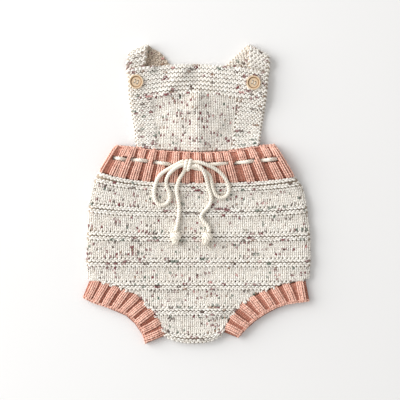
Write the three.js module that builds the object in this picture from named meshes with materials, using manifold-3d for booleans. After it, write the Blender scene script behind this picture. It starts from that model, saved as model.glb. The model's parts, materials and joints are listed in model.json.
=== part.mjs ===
// Hand-knitted baby romper, laid flat with its front up.
// Millimetres. +X is to the viewer's right, +Y is towards the shoulder straps, +Z is up from the
// surface that the garment lies on. The origin is under the middle of the garment, on that surface.
//
// The body is a tube of cloth laid flat: a front wall over a back wall, which meet at the folded sides and
// at the crotch. A ribbed band and two ribbed cuffs are knitted on to it, and a bib on to the band. Two
// straps come up from the back of the band, cross behind the bib, fold over and end under its corners,
// where a button holds each. A drawstring weaves through the band and is tied in a bow.

import * as THREE from "three";
import { mergeVertices } from "three/addons/utils/BufferGeometryUtils.js";
import Module from "manifold-3d";

const wasm = await Module();
wasm.setup();

// Cloth
const CLOTH = 2.4; // thickness of one knitted wall
const GAP = 0.3; // between two walls that touch
const SEAM = 0.5; // between two pieces knitted on to each other, along their edge
const FOLD_Z = 3.4; // height at which the front wall ends at a folded side
const FOLD_WIDTH = 8; // over which a folded side rounds down
const RIDGE_PITCH = 4.6; // one garter ridge, which is two rows of knitting
const RIDGE_HEIGHT = 0.9;
const RIB_HEIGHT = 1.2;

// Body
const BODY_TOP = 11.5; // y of the seam to the band, at the middle
const BODY_BOTTOM = -165.5; // y of the crotch fold, at the middle
const FRONT_TOP = 5.4; // height of the front wall's outer face where it lies on the back wall
const SIDE_RELIEF = 0.6; // share of a ridge's height that it keeps round a folded side
const SIDE_PUFF = 1.4; // how much higher it stands near its folded sides
const PUFF_FROM_EDGE = 18;
const STRIPE_CENTRES = [7.5, -20.5, -48, -76, -101.5, -129.5, -160];

// Sides and leg seams of the body, from the band down.
const BODY_LEFT = [
  { y: 24, x: -107.5 },
  { y: 17.5, x: -112.5 },
  { y: 3.5, x: -116.5 },
  { y: -14.5, x: -119.5 },
  { y: -44, x: -121.5 },
  { y: -74, x: -122.5 },
  { y: -92, x: -121 },
  { y: -95, x: -118.5 },
  { y: -97, x: -104.5 },
  { y: -102.5, x: -86.5 },
  { y: -111.5, x: -67 },
  { y: -123.5, x: -53.5 },
  { y: -135.5, x: -44 },
  { y: -148, x: -37.5 },
  { y: -157, x: -35 },
];
const BODY_RIGHT = [
  { y: 24, x: 105 },
  { y: 18.5, x: 108.5 },
  { y: 5.5, x: 118 },
  { y: -24.5, x: 123 },
  { y: -54, x: 125.5 },
  { y: -76, x: 125.5 },
  { y: -92, x: 124.5 },
  { y: -95, x: 120 },
  { y: -99.5, x: 95.5 },
  { y: -107.5, x: 72 },
  { y: -117.5, x: 54 },
  { y: -126.5, x: 42 },
  { y: -139.5, x: 34.5 },
  { y: -153, x: 29 },
];
// How far the two ends of a knitted row stand above its middle.
const ROW_SAG = [
  { y: 11.5, left: 12.5, right: 7 },
  { y: -20, left: 5, right: 4 },
  { y: -60, left: 1, right: 1 },
  { y: -88, left: 0, right: 0 },
  { y: -130, left: 0, right: 0 },
  { y: -146, left: 2.5, right: 4 },
  { y: -165.5, left: 8.5, right: 12.5 },
];
const SAG_POWER = 3;
// Soft ridges (positive) and troughs of the front, each along a line with a height and a half width.
const BODY_FOLDS = [
  { x1: 8, y1: -138, x2: 28, y2: -126, height: 1.6, width: 7 },
  { x1: -34, y1: -118, x2: -12, y2: -134, height: 1.1, width: 8 },
  { x1: 22, y1: -34, x2: 46, y2: -62, height: -0.6, width: 10 },
  { x1: -96, y1: -58, x2: -70, y2: -78, height: 0.9, width: 9 },
  { x1: 70, y1: -70, x2: 98, y2: -84, height: 1.0, width: 10 },
  { x1: -70, y1: -4, x2: -58, y2: -30, height: 0.7, width: 8 },
];

// Band
const BAND_TOP_LEFT = -89;
const BAND_TOP_RIGHT = 86.5;
const BAND_RIM = [
  { x: -89, y: 54 },
  { x: -69, y: 52 },
  { x: -46.5, y: 48.5 },
  { x: 3.5, y: 46 },
  { x: 39, y: 47.5 },
  { x: 67.5, y: 53 },
  { x: 86.5, y: 54 },
];
const BAND_RIM_TOP = 5.4; // height of its front wall at the rim
const BAND_CASING_TOP = 9.7; // and over the drawstring
const BAND_FOLD_WIDTH = 4;
const CASING_ABOVE = 9; // reach of the casing above and below the drawstring's line
const CASING_BELOW = 19;
const WEAVE_LIFT = 1.4; // the wall gives way by this much where the drawstring passes over or under it
const WEAVE_REACH = 7;
const BAND_RIBS = [-99, -85, -76.5, -64.5, -52, -39.5, -24.5, -12, 1.5, 14.5, 26.5, 36.5, 53.5, 66.5, 82, 93];
const RIB_CROWN = 1.8; // half width of a rib's flat top, and of its foot
const RIB_FOOT = 4.2;

// Drawstring
const CORD_DIAMETER = 4.2;
const CORD_SIDES = 8;
const CORD_STEP = 9.5;
const WEAVE_STEP = 4.5;
const EYELET_WIDTH = 5.4;
const EYELET_HEIGHT = 7.4;
const BACK_RUN_OFFSET = -9; // the run round the back lies this far below the front run
// Where the drawstring crosses the band's front: over a rib or under it.
const WEAVE = [
  { x: -92.3, y: 39.8, over: false },
  { x: -85.3, y: 38.8, over: true },
  { x: -75, y: 37.5, over: false },
  { x: -62.5, y: 37, over: true },
  { x: -50.5, y: 35.5, over: false },
  { x: -37.5, y: 33.5, over: true },
  { x: -24.5, y: 31.5, over: false },
  { x: -9, y: 31.5, over: true },
  { x: 4, y: 32, over: false },
  { x: 20.5, y: 32.5, over: true },
  { x: 40, y: 34, over: false },
  { x: 54.5, y: 35, over: true },
  { x: 66.5, y: 36.5, over: false },
  { x: 80, y: 37.5, over: true },
  { x: 91, y: 38.5, over: false },
];

// Bib
const BIB_TOP = [
  { x: -77, y: 137 },
  { x: -46.5, y: 141 },
  { x: -19, y: 143 },
  { x: 3.5, y: 143.5 },
  { x: 20, y: 142 },
  { x: 51, y: 139.5 },
  { x: 79.5, y: 133.5 },
];
const BIB_SIDES = [
  { y: 137, left: -77, right: 79.5 },
  { y: 112.5, left: -76, right: 77.5 },
  { y: 92.5, left: -73, right: 74.5 },
  { y: 77, left: -70, right: 72 },
  { y: 54, left: -67.5, right: 69 },
];
const BIB_RIDGES = 19;
const BIB_PANEL = { left: 0.16, right: 0.78, top: 0.64 }; // the plain knit panel, as shares of the bib
const BIB_JOIN_REACH = 26; // over which the bib comes up to the band's rim
const BIB_DRAPE = 16; // how far beyond a strap the bib takes to come down to the surface
const BIB_FOLDS = [
  { x1: -1, y1: 112, x2: 1, y2: 56, height: 2.3, width: 6 },
  { x1: -38, y1: 80, x2: -6, y2: 96, height: 1.2, width: 7 },
  { x1: -35, y1: 112, x2: -14, y2: 138, height: 2.6, width: 6 },
  { x1: 6, y1: 109, x2: 34, y2: 105, height: 1.5, width: 7 },
  { x1: 14, y1: 82, x2: 40, y2: 66, height: 1.2, width: 9 },
];

// Straps
const STRAP_CLOTH = 2.2;
const STRAP_RELIEF = 0.7;
const STRAP_LOW = 1.15; // height of the middle of the cloth where a strap lies on the surface
const STRAP_RISE_FROM = 130; // y from which a front leg comes up to its fold
const STRAP_RISE_TO = 149;
// Each strap's middle line: up from the button, over the fold line, and down behind the bib. turn is the
// radius of the fold, to the middle of the cloth.
const STRAPS = {
  left: {
    width: 21,
    turn: 4.2,
    foldAt: [-65, 155],
    foldAngle: 20,
    front: [
      [-63.5, 109],
      [-66, 122],
      [-68, 140],
    ],
    back: [
      [-56, 152.5],
      [-46.5, 147.5],
      [-39.5, 138],
      [-28, 119],
      [0, 76.5],
      [19, 49.5],
    ],
  },
  right: {
    width: 24,
    turn: 3,
    foldAt: [67.6, 154.3],
    foldAngle: -29,
    front: [
      [62.5, 109],
      [65.5, 122],
      [68.8, 140],
    ],
    back: [
      [57, 149.5],
      [46, 139],
      [36.5, 129],
      [24.5, 112],
      [0, 76.5],
      [-18, 49.5],
    ],
  },
};

// Cuffs: their outer, open edges, from the side of the garment to the crotch.
const CUFF_EDGES = {
  left: [
    [-126.3, -114.5],
    [-112.5, -121],
    [-92.5, -127.5],
    [-76.5, -134.5],
    [-67, -143.5],
    [-60, -155],
    [-57, -166],
  ],
  right: [
    [124.5, -118.5],
    [101.5, -121.5],
    [85.5, -126.5],
    [70, -135.5],
    [57.5, -145],
    [46, -159.5],
  ],
};
const CUFF_RIBS = { left: 9, right: 8 };
const CUFF_RIB_HEIGHT = 1.1;
const CUFF_EDGE_TOP = 5.2;
const CUFF_FOLD_WIDTH = 5;
const CUFF_BACK_PEEK = 1.8; // how far the back wall shows past the front wall inside the leg's curve

// Buttons
const BUTTON_RADIUS = 7.7;
const BUTTON_PLACES = { left: [-67, 123.5], right: [62.5, 122.5] };
const BUTTON_HOLE_RADIUS = 0.8;
const BUTTON_HOLE_OFFSET = 1.5;
const BUTTON_PROFILE = [
  { r: 0, z: 0 },
  { r: 6.7, z: 0 },
  { r: 7.7, z: 1 },
  { r: 7.7, z: 2.6 },
  { r: 7.1, z: 3.3 },
  { r: 6.4, z: 3.3 },
  { r: 5.4, z: 2.3 },
  { r: 0, z: 2.1 },
];

// Bow: points that each free stretch of the drawstring follows, from the knot.
const KNOT = { x: -9, y: 31.5, z: 15.2, rx: 5.4, ry: 4.6, rz: 4 };
const LOOP_LEFT = [
  [-14.6, 32, 16.8],
  [-20.5, 29.8, 17.5],
  [-26.5, 25.8, 17.4],
  [-31.2, 20.8, 14.8],
  [-33.9, 14, 11.2],
  [-33.2, 7.5, 9.7],
  [-30.6, 0.8, 9.2],
  [-30.2, -5.5, 9],
  [-33.2, -10.6, 9],
  [-38.4, -12.8, 9],
  [-43.4, -10.8, 9],
  [-46.4, -5.6, 9],
  [-47.2, 2.4, 9.3],
  [-45.6, 11, 11],
  [-41.6, 19.2, 13.2],
  [-36, 24.4, 13.8],
  [-29.5, 28.3, 14.3],
  [-23, 31.9, 14.4],
  [-18, 34.5, 14.4],
  [-14.6, 35.9, 14.4],
];
const LOOP_RIGHT = [
  [-3.4, 34.8, 16.4],
  [2.4, 34.4, 16.6],
  [9.4, 32.2, 16.4],
  [18, 28.4, 14.8],
  [26.2, 22.6, 13.2],
  [31.8, 15.6, 12],
  [34.8, 8.4, 9.8],
  [34.8, 2, 9.2],
  [31.7, -3, 9],
  [26.4, -4.4, 9],
  [21.2, -1.6, 9.1],
  [17.9, 5, 9.8],
  [16.2, 12.5, 12],
  [13.8, 20, 13.2],
  [7.4, 25.6, 13.7],
  [-2.6, 28.2, 14],
];
const TAIL_LEFT = [
  [-12.6, 27, 13.6],
  [-16, 21.5, 13.4],
  [-19.7, 15.4, 12.4],
  [-21.9, 8, 9.9],
  [-22, 0.8, 9.2],
  [-20.6, -7.5, 9],
  [-19.6, -15, 9],
  [-20.2, -24.5, 9],
  [-21.5, -33, 9],
  [-22.6, -38.6, 9],
  [-22.8, -41.4, 9.2],
];
const TAIL_RIGHT = [
  [-3.5, 30.4, 17.4],
  [1, 30.2, 18.2],
  [5.6, 27, 18.4],
  [8.9, 20.8, 17.2],
  [11.2, 13, 12.8],
  [13.2, 5, 10],
  [15.4, -2.6, 9.2],
  [15.3, -8.8, 9],
  [12.2, -15, 9],
  [6.5, -21, 9],
  [4.6, -25.5, 9],
  [7.3, -30.4, 9],
  [11.6, -35, 9],
  [13.4, -39.4, 9],
  [13, -42.4, 9.2],
];
// Each end knot and its brush of cut yarn, turned about the tail's own line.
const END_KNOT_PROFILE = [
  { r: 0, along: 0 },
  { r: 2.4, along: 0.2 },
  { r: 4.4, along: 2.4 },
  { r: 4.7, along: 5 },
  { r: 3.6, along: 7.6 },
  { r: 2.8, along: 9 },
  { r: 4, along: 12 },
  { r: 3.7, along: 15 },
  { r: 0, along: 15.6 },
];
const END_KNOTS = {
  left: { at: [-22.9, -42.6, 10.9], towards: [-1, -9] },
  right: { at: [12.8, -43.6, 10.9], towards: [-2, -9] },
};

// Numbers

const clamp = (v, low, high) => Math.min(high, Math.max(low, v));
const mix = (a, b, share) => a + (b - a) * share;

// From 0 at `from` to 1 at `to`, with flat ends.
function ease(from, to, v) {
  const t = clamp((v - from) / (to - from), 0, 1);
  return t * t * (3 - 2 * t);
}

// The value of one column of a table at a place between its rows.
function readTable(rows, key, column, at) {
  const rising = rows[rows.length - 1][key] > rows[0][key];
  let i = 0;
  while (i < rows.length - 2 && (rising ? at > rows[i + 1][key] : at < rows[i + 1][key])) i += 1;
  const share = clamp((at - rows[i][key]) / (rows[i + 1][key] - rows[i][key]), 0, 1);
  return mix(rows[i][column], rows[i + 1][column], share);
}

// Height that a list of soft folds adds at a place.
function foldHeight(folds, x, y) {
  let sum = 0;
  for (const f of folds) {
    const dx = f.x2 - f.x1;
    const dy = f.y2 - f.y1;
    const along = clamp(((x - f.x1) * dx + (y - f.y1) * dy) / (dx * dx + dy * dy), 0, 1);
    const away = Math.hypot(x - f.x1 - along * dx, y - f.y1 - along * dy);
    sum += f.height * Math.exp(-((away / f.width) ** 2));
  }
  return sum;
}

// A bump of height 1 that comes down to 0 at half a pitch from its middle.
const ridge = (away, pitch) => (Math.abs(away) < pitch / 2 ? Math.cos((Math.PI * away) / pitch) ** 2 : 0);

// A rib: a flat top with sloping flanks.
const rib = (away) => 1 - ease(RIB_CROWN, RIB_FOOT, Math.abs(away));

// Solids

// A closed wall between two grids of points, where outer(i, j) and inner(i, j) give row i and column j.
function wall(rows, columns, outer, inner, facesUp) {
  const places = [];
  for (const side of [outer, inner])
    for (let i = 0; i < rows; i += 1) for (let j = 0; j < columns; j += 1) places.push(...side(i, j));
  const at = (i, j) => i * columns + j;
  const shift = rows * columns;
  const index = [];
  const quad = (a, b, c, d) => (facesUp ? index.push(a, b, c, a, c, d) : index.push(a, c, b, a, d, c));
  for (let i = 0; i < rows - 1; i += 1)
    for (let j = 0; j < columns - 1; j += 1) {
      quad(at(i, j), at(i + 1, j), at(i + 1, j + 1), at(i, j + 1));
      quad(at(i, j) + shift, at(i, j + 1) + shift, at(i + 1, j + 1) + shift, at(i + 1, j) + shift);
    }
  const rim = (a, b) => quad(a, b, b + shift, a + shift);
  for (let j = 0; j < columns - 1; j += 1) {
    rim(at(0, j), at(0, j + 1));
    rim(at(rows - 1, j + 1), at(rows - 1, j));
  }
  for (let i = 0; i < rows - 1; i += 1) {
    rim(at(i + 1, 0), at(i, 0));
    rim(at(i, columns - 1), at(i + 1, columns - 1));
  }
  const geometry = new THREE.BufferGeometry();
  geometry.setAttribute("position", new THREE.Float32BufferAttribute(places, 3));
  geometry.setIndex(index);
  return geometry;
}

const curveOf = (points) => new THREE.CatmullRomCurve3(points.map((p) => new THREE.Vector3(...p)));

// How far along a path it first comes within a millimetre of this x, looking from its start or its end.
const SEARCH_STEPS = 800;

function lengthTo(path, x, fromEnd) {
  for (let k = 0; k <= SEARCH_STEPS; k += 1) {
    const share = fromEnd ? 1 - k / SEARCH_STEPS : k / SEARCH_STEPS;
    if (Math.abs(path.getPointAt(share).x - x) < 1) return share * path.getLength();
  }
  throw new Error("the path does not reach x " + x);
}

function tube(path, radius, step) {
  const section = new THREE.Shape();
  section.absarc(0, 0, radius, 0, 2 * Math.PI, false);
  const steps = Math.max(4, Math.round(path.getLength() / step));
  return new THREE.ExtrudeGeometry(section, {
    steps,
    curveSegments: CORD_SIDES / 2,
    extrudePath: path,
    bevelEnabled: false,
  });
}

function solid(geometry) {
  const bare = geometry.clone();
  bare.deleteAttribute("normal");
  bare.deleteAttribute("uv");
  const merged = mergeVertices(bare, 1e-3);
  return new wasm.Manifold(
    new wasm.Mesh({
      numProp: 3,
      vertProperties: new Float32Array(merged.attributes.position.array),
      triVerts: new Uint32Array(merged.index.array),
    }),
  );
}

function geometryOf(body) {
  const made = body.getMesh();
  const geometry = new THREE.BufferGeometry();
  geometry.setAttribute("position", new THREE.Float32BufferAttribute(made.vertProperties, 3));
  geometry.setIndex([...made.triVerts]);
  return geometry;
}

// Columns across a wall whose two ends are folded: angles round each fold, and shares of the stretch between.
const FOLD_ANGLES = [0, 30, 62, 90].map((d) => (d * Math.PI) / 180);

function foldColumns(shares) {
  return [
    ...FOLD_ANGLES.map((angle) => ({ end: 0, angle })),
    ...shares.map((share) => ({ share })),
    ...FOLD_ANGLES.toReversed().map((angle) => ({ end: 1, angle })),
  ];
}

// How far a column lies in from the start of a row of this length. depth is how deep in the cloth the point
// lies, folded is 1 where the row's ends are folds and 0 where they are seams.
function columnPlace(column, length, width, depth, folded) {
  if (column.share !== undefined) return width + column.share * (length - 2 * width);
  const sunk = depth * folded;
  const inset = sunk + (width - sunk) * (1 - Math.cos(column.angle));
  return column.end === 0 ? inset : length - inset;
}

// 0 at a folded end, 1 past the fold.
const columnRise = (column, folded) =>
  column.share !== undefined ? 1 : 1 - folded * (1 - Math.sin(column.angle));

// How far a column faces outwards rather than up: -1 at the start of a row, 1 at its end.
const columnLean = (column, folded) =>
  column.share !== undefined ? 0 : (column.end === 0 ? -1 : 1) * folded * Math.cos(column.angle);

// Height of a point of the front or back wall: they meet at the fold, with a gap.
const frontHeight = (top, rise, depth) => FOLD_Z + (top - depth - FOLD_Z) * rise;
const backHeight = (rise, depth) => FOLD_Z - GAP - (FOLD_Z - GAP - depth) * rise;

// Body

const bodyLeft = (y) => readTable(BODY_LEFT, "y", "x", y);
const bodyRight = (y) => readTable(BODY_RIGHT, "y", "x", y);

// The place on a knitted row of the body: share runs from 0 at its left end to 1 at its right end.
function rowPlace(row, share) {
  const leftY = row + readTable(ROW_SAG, "y", "left", row);
  const rightY = row + readTable(ROW_SAG, "y", "right", row);
  const side = 2 * share - 1;
  const sag = (side < 0 ? leftY - row : rightY - row) * Math.abs(side) ** SAG_POWER;
  return [mix(bodyLeft(leftY), bodyRight(rightY), share), row + sag];
}

const SIDES_END = -88; // the sides of the body are straight down to here
const PUFF_FADES = [-112, -62];
const BAND_STEP = 1.2; // the front rises this much to the band
const BAND_STEP_AT = [-12, 14];

function bodyTop(x, y) {
  const level = Math.max(y, SIDES_END);
  const toSide = Math.min(x - bodyLeft(level), bodyRight(level) - x);
  const puff = SIDE_PUFF * Math.exp(-(((toSide - PUFF_FROM_EDGE) / PUFF_FROM_EDGE) ** 2)) * ease(...PUFF_FADES, y);
  const toBand = BAND_STEP * ease(...BAND_STEP_AT, y);
  return FRONT_TOP + puff + toBand + foldHeight(BODY_FOLDS, x, y);
}

const ridgePair = (away) => ridge(away - RIDGE_PITCH / 2, RIDGE_PITCH) + ridge(away + RIDGE_PITCH / 2, RIDGE_PITCH);
const garter = (row) => STRIPE_CENTRES.reduce((sum, centre) => sum + ridgePair(row - centre), 0);

// Rows at the corners of the leg seams.
const LEG_ROWS = [-92, -95, -97, -99.5, -102.5, -111.5, -123.5];
const SIDE_FOLDS_END = [-97, -92]; // above this the body's sides are folds, below it are the leg seams
const ROWS_APART = 0.9;
const TOP_INSET = 0.2; // the walls end this far under the band's seam

// Rows of the front: each stripe's valleys and ridges, the rows between stripes, and the leg seams' corners.
function frontRows() {
  const rows = [BODY_TOP - TOP_INSET];
  STRIPE_CENTRES.forEach((centre, k) => {
    for (const step of [1, 0.5, 0, -0.5, -1])
      if (centre + step * RIDGE_PITCH < BODY_TOP - 1) rows.push(centre + step * RIDGE_PITCH);
    const next = STRIPE_CENTRES[k + 1];
    if (next === undefined) return;
    const from = centre - RIDGE_PITCH;
    const to = next + RIDGE_PITCH;
    rows.push(mix(from, to, 0.5));
  });
  rows.push(...LEG_ROWS);
  const crotch = BODY_BOTTOM + FOLD_WIDTH;
  const falling = rows.filter((row) => row > crotch + 1).sort((a, b) => b - a);
  const crowded = (row) => LEG_ROWS.some((leg) => Math.abs(leg - row) < ROWS_APART);
  return falling.filter((row) => LEG_ROWS.includes(row) || !crowded(row));
}

const BACK_ROWS = [BODY_TOP - TOP_INSET, -10, -40, -70, ...LEG_ROWS, -107.5, -117.5, -126.5, -135.5, -142, -150];

function bodyWall(rows, shares, up) {
  const columns = foldColumns(shares);
  const crotch = FOLD_ANGLES.toReversed();
  const point = (i, j, depth) => {
    const turned = i >= rows.length ? crotch[i - rows.length] : undefined;
    const rise = turned === undefined ? 1 : Math.sin(turned);
    const inside = depth + (FOLD_WIDTH - depth) * (turned === undefined ? 0 : 1 - Math.cos(turned));
    const row = turned === undefined ? rows[i] : BODY_BOTTOM + inside;
    const folded = ease(...SIDE_FOLDS_END, row);
    const [x0] = rowPlace(row, 0);
    const [x1] = rowPlace(row, 1);
    const inset = columnPlace(columns[j], x1 - x0, FOLD_WIDTH, depth, folded);
    const [x, y] = rowPlace(row, inset / (x1 - x0));
    const lift = rise * columnRise(columns[j], folded);
    const relief = up && depth === 0 ? RIDGE_HEIGHT * garter(row) : 0;
    const z = up ? frontHeight(bodyTop(x, y), lift, depth) : backHeight(lift, depth);
    return [x + relief * SIDE_RELIEF * columnLean(columns[j], folded), y, z + relief * lift];
  };
  const count = rows.length + crotch.length;
  return wall(count, columns.length, (i, j) => point(i, j, 0), (i, j) => point(i, j, CLOTH), up);
}

// Band

const bandRimY = (x) => readTable(BAND_RIM, "x", "y", x);
const weaveY = (x) => readTable(WEAVE, "x", "y", x);

// The place on the band: share runs across from its left side, down runs from its rim to the body.
function bandPlace(share, down) {
  const rimX = mix(BAND_TOP_LEFT, BAND_TOP_RIGHT, share);
  const [seamX, seamY] = rowPlace(BODY_TOP, share);
  return [mix(rimX, seamX, down), mix(bandRimY(rimX), seamY + SEAM, down)];
}

// 1 where the drawstring lies on the wall, -1 where the wall lies on the drawstring.
function weavePhase(x) {
  let i = 0;
  while (i < WEAVE.length - 2 && x > WEAVE[i + 1].x) i += 1;
  const from = WEAVE[i].over ? 1 : -1;
  const to = WEAVE[i + 1].over ? 1 : -1;
  return mix(from, to, ease(WEAVE[i].x, WEAVE[i + 1].x, x));
}

// The casing round the drawstring rises from its upper and lower edges over these distances from them.
const CASING_UPPER = [8, -3];
const CASING_LOWER = [-4, 6];
const RIM_FROM_BODY = [20, 44]; // the band's height changes here from the body's to the rim's

function bandTop(x, y) {
  const fromUpper = y - weaveY(x) - CASING_ABOVE;
  const fromLower = y - weaveY(x) + CASING_BELOW;
  const casing = ease(...CASING_UPPER, fromUpper) * ease(...CASING_LOWER, fromLower);
  const low = mix(bodyTop(x, y), BAND_RIM_TOP, ease(...RIM_FROM_BODY, y));
  const give = WEAVE_LIFT * weavePhase(x) * Math.exp(-(((y - weaveY(x)) / WEAVE_REACH) ** 2));
  return mix(low, BAND_CASING_TOP, casing) - give * casing;
}

const bandRibs = (x) => BAND_RIBS.reduce((most, centre) => Math.max(most, rib(x - centre)), 0);

// x at the drawstring's line of the rib line that runs through this share of the band.
const bandLineX = (share) => bandPlace(share, 0.5)[0];
const bandShareOf = (x) => (x - bandLineX(0)) / (bandLineX(1) - bandLineX(0));

const LEAST_SHARE = 0.005; // columns of a wall stay this far apart

function bandShares() {
  const length = bandLineX(1) - bandLineX(0);
  const edge = BAND_FOLD_WIDTH / length;
  const shares = [];
  for (const centre of BAND_RIBS)
    for (const step of [-RIB_FOOT, -RIB_CROWN, RIB_CROWN, RIB_FOOT]) {
      const share = (bandShareOf(centre + step) - edge) / (1 - 2 * edge);
      const apart = shares.length ? share - shares[shares.length - 1] : share;
      if (share > LEAST_SHARE && share < 1 - LEAST_SHARE && apart > LEAST_SHARE) shares.push(share);
    }
  return shares;
}

const BAND_ROWS = [0, 0.05, 0.2, 0.36, 0.52, 0.72, 0.95, 1];

function bandWall(shares, downs, up) {
  const columns = foldColumns(shares);
  const point = (i, j, depth) => {
    const down = downs[i];
    const length = bandPlace(1, down)[0] - bandPlace(0, down)[0];
    const share = columnPlace(columns[j], length, BAND_FOLD_WIDTH, depth, 1) / length;
    const [x, y] = bandPlace(share, down);
    const lift = columnRise(columns[j], 1);
    const edge = up && (down === 0 || down === 1) ? 0.5 : 1;
    const relief = up && depth === 0 ? RIB_HEIGHT * edge * bandRibs(bandLineX(share)) : 0;
    const z = up ? frontHeight(bandTop(x, y), lift, depth) : backHeight(lift, depth);
    return [x + relief * columnLean(columns[j], 1), y, z + relief * lift];
  };
  return wall(downs.length, columns.length, (i, j) => point(i, j, 0), (i, j) => point(i, j, CLOTH), up);
}

// Drawstring in the band

const cordOver = (x, y) => bandTop(x, y) + RIB_HEIGHT + GAP + CORD_DIAMETER / 2;
const cordUnder = (x, y) => bandTop(x, y) - CLOTH - GAP - CORD_DIAMETER / 2;
// The first and last places lie lower, on their way round the side.
const TURN_DROP = 0.7;
// Where the run leaves the knot, from its middle and in height.
const LEAVES_KNOT = { left: [-5.4, -0.6], right: [5.6, 0.2], z: 12.1 };
// The turn round the side: steps out and down from the last place of the weave.
const TURN_POINTS = [
  { out: 1.4, down: 3.6, rise: 0.2 },
  { out: 0.4, down: 7.6, rise: 0 },
];
const BACK_RUN_INSET = 7;
const BACK_RUN_STEPS = 6;

// Front run from one point of the weave to another, with a point half way through each eyelet.
function frontRun(from, to) {
  const points = [];
  for (let i = from; i <= to; i += 1) {
    const p = WEAVE[i];
    const turns = i === 0 || i === WEAVE.length - 1;
    const z = p.over ? cordOver(p.x, p.y) : cordUnder(p.x, p.y) - (turns ? TURN_DROP : 0);
    if (i > from) {
      const last = points[points.length - 1];
      points.push([(last[0] + p.x) / 2, (last[1] + p.y) / 2, (last[2] + z) / 2]);
    }
    points.push([p.x, p.y, z]);
  }
  return points;
}

const BACK_RUN_Z = CLOTH + GAP + CORD_DIAMETER / 2;
const KNOT_AT = WEAVE.findIndex((p) => p.x === KNOT.x);

// The whole run: from the knot's left side out along the front, round the back inside the band, and along
// the front again to the knot's right side.
function waistRun() {
  const left = WEAVE[0];
  const right = WEAVE.at(-1);
  const leave = ([dx, dy]) => [KNOT.x + dx, KNOT.y + dy, LEAVES_KNOT.z];
  const turn = (place, way) => TURN_POINTS.map((p) => [place.x + way * p.out, place.y - p.down, BACK_RUN_Z + p.rise]);
  const back = [];
  for (let k = 0; k <= BACK_RUN_STEPS; k += 1) {
    const x = mix(left.x + BACK_RUN_INSET, right.x - BACK_RUN_INSET, k / BACK_RUN_STEPS);
    back.push([x, weaveY(x) + BACK_RUN_OFFSET, BACK_RUN_Z]);
  }
  return [
    leave(LEAVES_KNOT.left),
    ...frontRun(0, KNOT_AT - 1).toReversed(),
    ...turn(left, -1),
    ...back,
    ...turn(right, 1).toReversed(),
    ...frontRun(KNOT_AT + 1, WEAVE.length - 1).toReversed(),
    leave(LEAVES_KNOT.right),
  ];
}

// A stretch of a longer path, from one length along it to another.
class Stretch extends THREE.Curve {
  constructor(path, from, to) {
    super();
    Object.assign(this, { path, from, to, total: path.getLength() });
  }
  getPoint(share, target) {
    return this.path.getPointAt(clamp(mix(this.from, this.to, share) / this.total, 0, 1), target);
  }
}

const EYELET_INSET = 0.05;

// Slots along the drawstring where it passes through the band's front, between each pair of places.
function eyelets() {
  const slots = [];
  const slot = (from, to, width) => {
    const run = new THREE.Vector3().subVectors(to, from);
    const box = new THREE.BoxGeometry(width, EYELET_HEIGHT, run.length() + 1);
    box.applyMatrix4(new THREE.Matrix4().lookAt(to, from, new THREE.Vector3(0, 0, 1)));
    const middle = new THREE.Vector3().addVectors(from, to).multiplyScalar(0.5);
    slots.push(box.translate(middle.x, middle.y, middle.z));
  };
  const place = (p) => new THREE.Vector3(p.x, p.y, p.over ? cordOver(p.x, p.y) : cordUnder(p.x, p.y));
  for (let i = 0; i < WEAVE.length - 1; i += 1) {
    const from = place(WEAVE[i]);
    const to = place(WEAVE[i + 1]);
    if (i === KNOT_AT - 1) to.set(...waistRun()[0]);
    if (i === KNOT_AT) from.set(...waistRun().at(-1));
    slot(from.clone().lerp(to, EYELET_INSET), to.clone().lerp(from, EYELET_INSET), EYELET_WIDTH);
  }
  return slots;
}

// Straps

// Folds a flat ribbon's point over the fold line. Past the line it lies underneath, turned over.
function foldOver(strap, x, y) {
  const turn = (strap.foldAngle * Math.PI) / 180;
  const along = [Math.cos(turn), Math.sin(turn)];
  const up = [-along[1], along[0]];
  const dx = x - strap.foldAt[0];
  const dy = y - strap.foldAt[1];
  const t = dx * along[0] + dy * along[1];
  const past = dx * up[0] + dy * up[1];
  const round = Math.PI * strap.turn;
  let out = past;
  let drop = 0;
  if (past > round) {
    out = round - past;
    drop = 2 * strap.turn;
  } else if (past > 0) {
    out = strap.turn * Math.sin(past / strap.turn);
    drop = strap.turn * (1 - Math.cos(past / strap.turn));
  }
  return [
    strap.foldAt[0] + t * along[0] + out * up[0],
    strap.foldAt[1] + t * along[1] + out * up[1],
    -drop,
  ];
}

// The strap's middle line as it would lie unfolded: the back leg is mirrored in the fold line.
function unfoldedLine(strap) {
  const turn = (strap.foldAngle * Math.PI) / 180;
  const up = [-Math.sin(turn), Math.cos(turn)];
  const points = strap.front.map(([x, y]) => new THREE.Vector3(x, y, 0));
  points.push(new THREE.Vector3(...strap.foldAt, 0));
  for (const [x, y] of strap.back) {
    const past = (x - strap.foldAt[0]) * up[0] + (y - strap.foldAt[1]) * up[1];
    const shift = -2 * past + Math.PI * strap.turn;
    points.push(new THREE.Vector3(x + shift * up[0], y + shift * up[1], 0));
  }
  return new THREE.CatmullRomCurve3(points, false, "centripetal");
}

// Distance from a line to a place.
function awayFrom(points, x, y) {
  let least = Infinity;
  for (let i = 0; i < points.length - 1; i += 1) {
    const dx = points[i + 1][0] - points[i][0];
    const dy = points[i + 1][1] - points[i][1];
    const t = clamp(((x - points[i][0]) * dx + (y - points[i][1]) * dy) / (dx * dx + dy * dy), 0, 1);
    least = Math.min(least, Math.hypot(x - points[i][0] - t * dx, y - points[i][1] - t * dy));
  }
  return least;
}

const STRAP_STEP = STRAP_CLOTH + 2 * GAP; // one strap lying on another
const under = (strap, away, margin, reach) =>
  1 - ease(strap.width / 2 + margin, strap.width / 2 + margin + reach, away);

const CROSS_MARGIN = 4; // round the crossing, the upper strap comes down past this and over the reach
const CROSS_REACH = 12;
const CROSS_ENDS = [128, 112]; // above this the straps lie side by side

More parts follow.
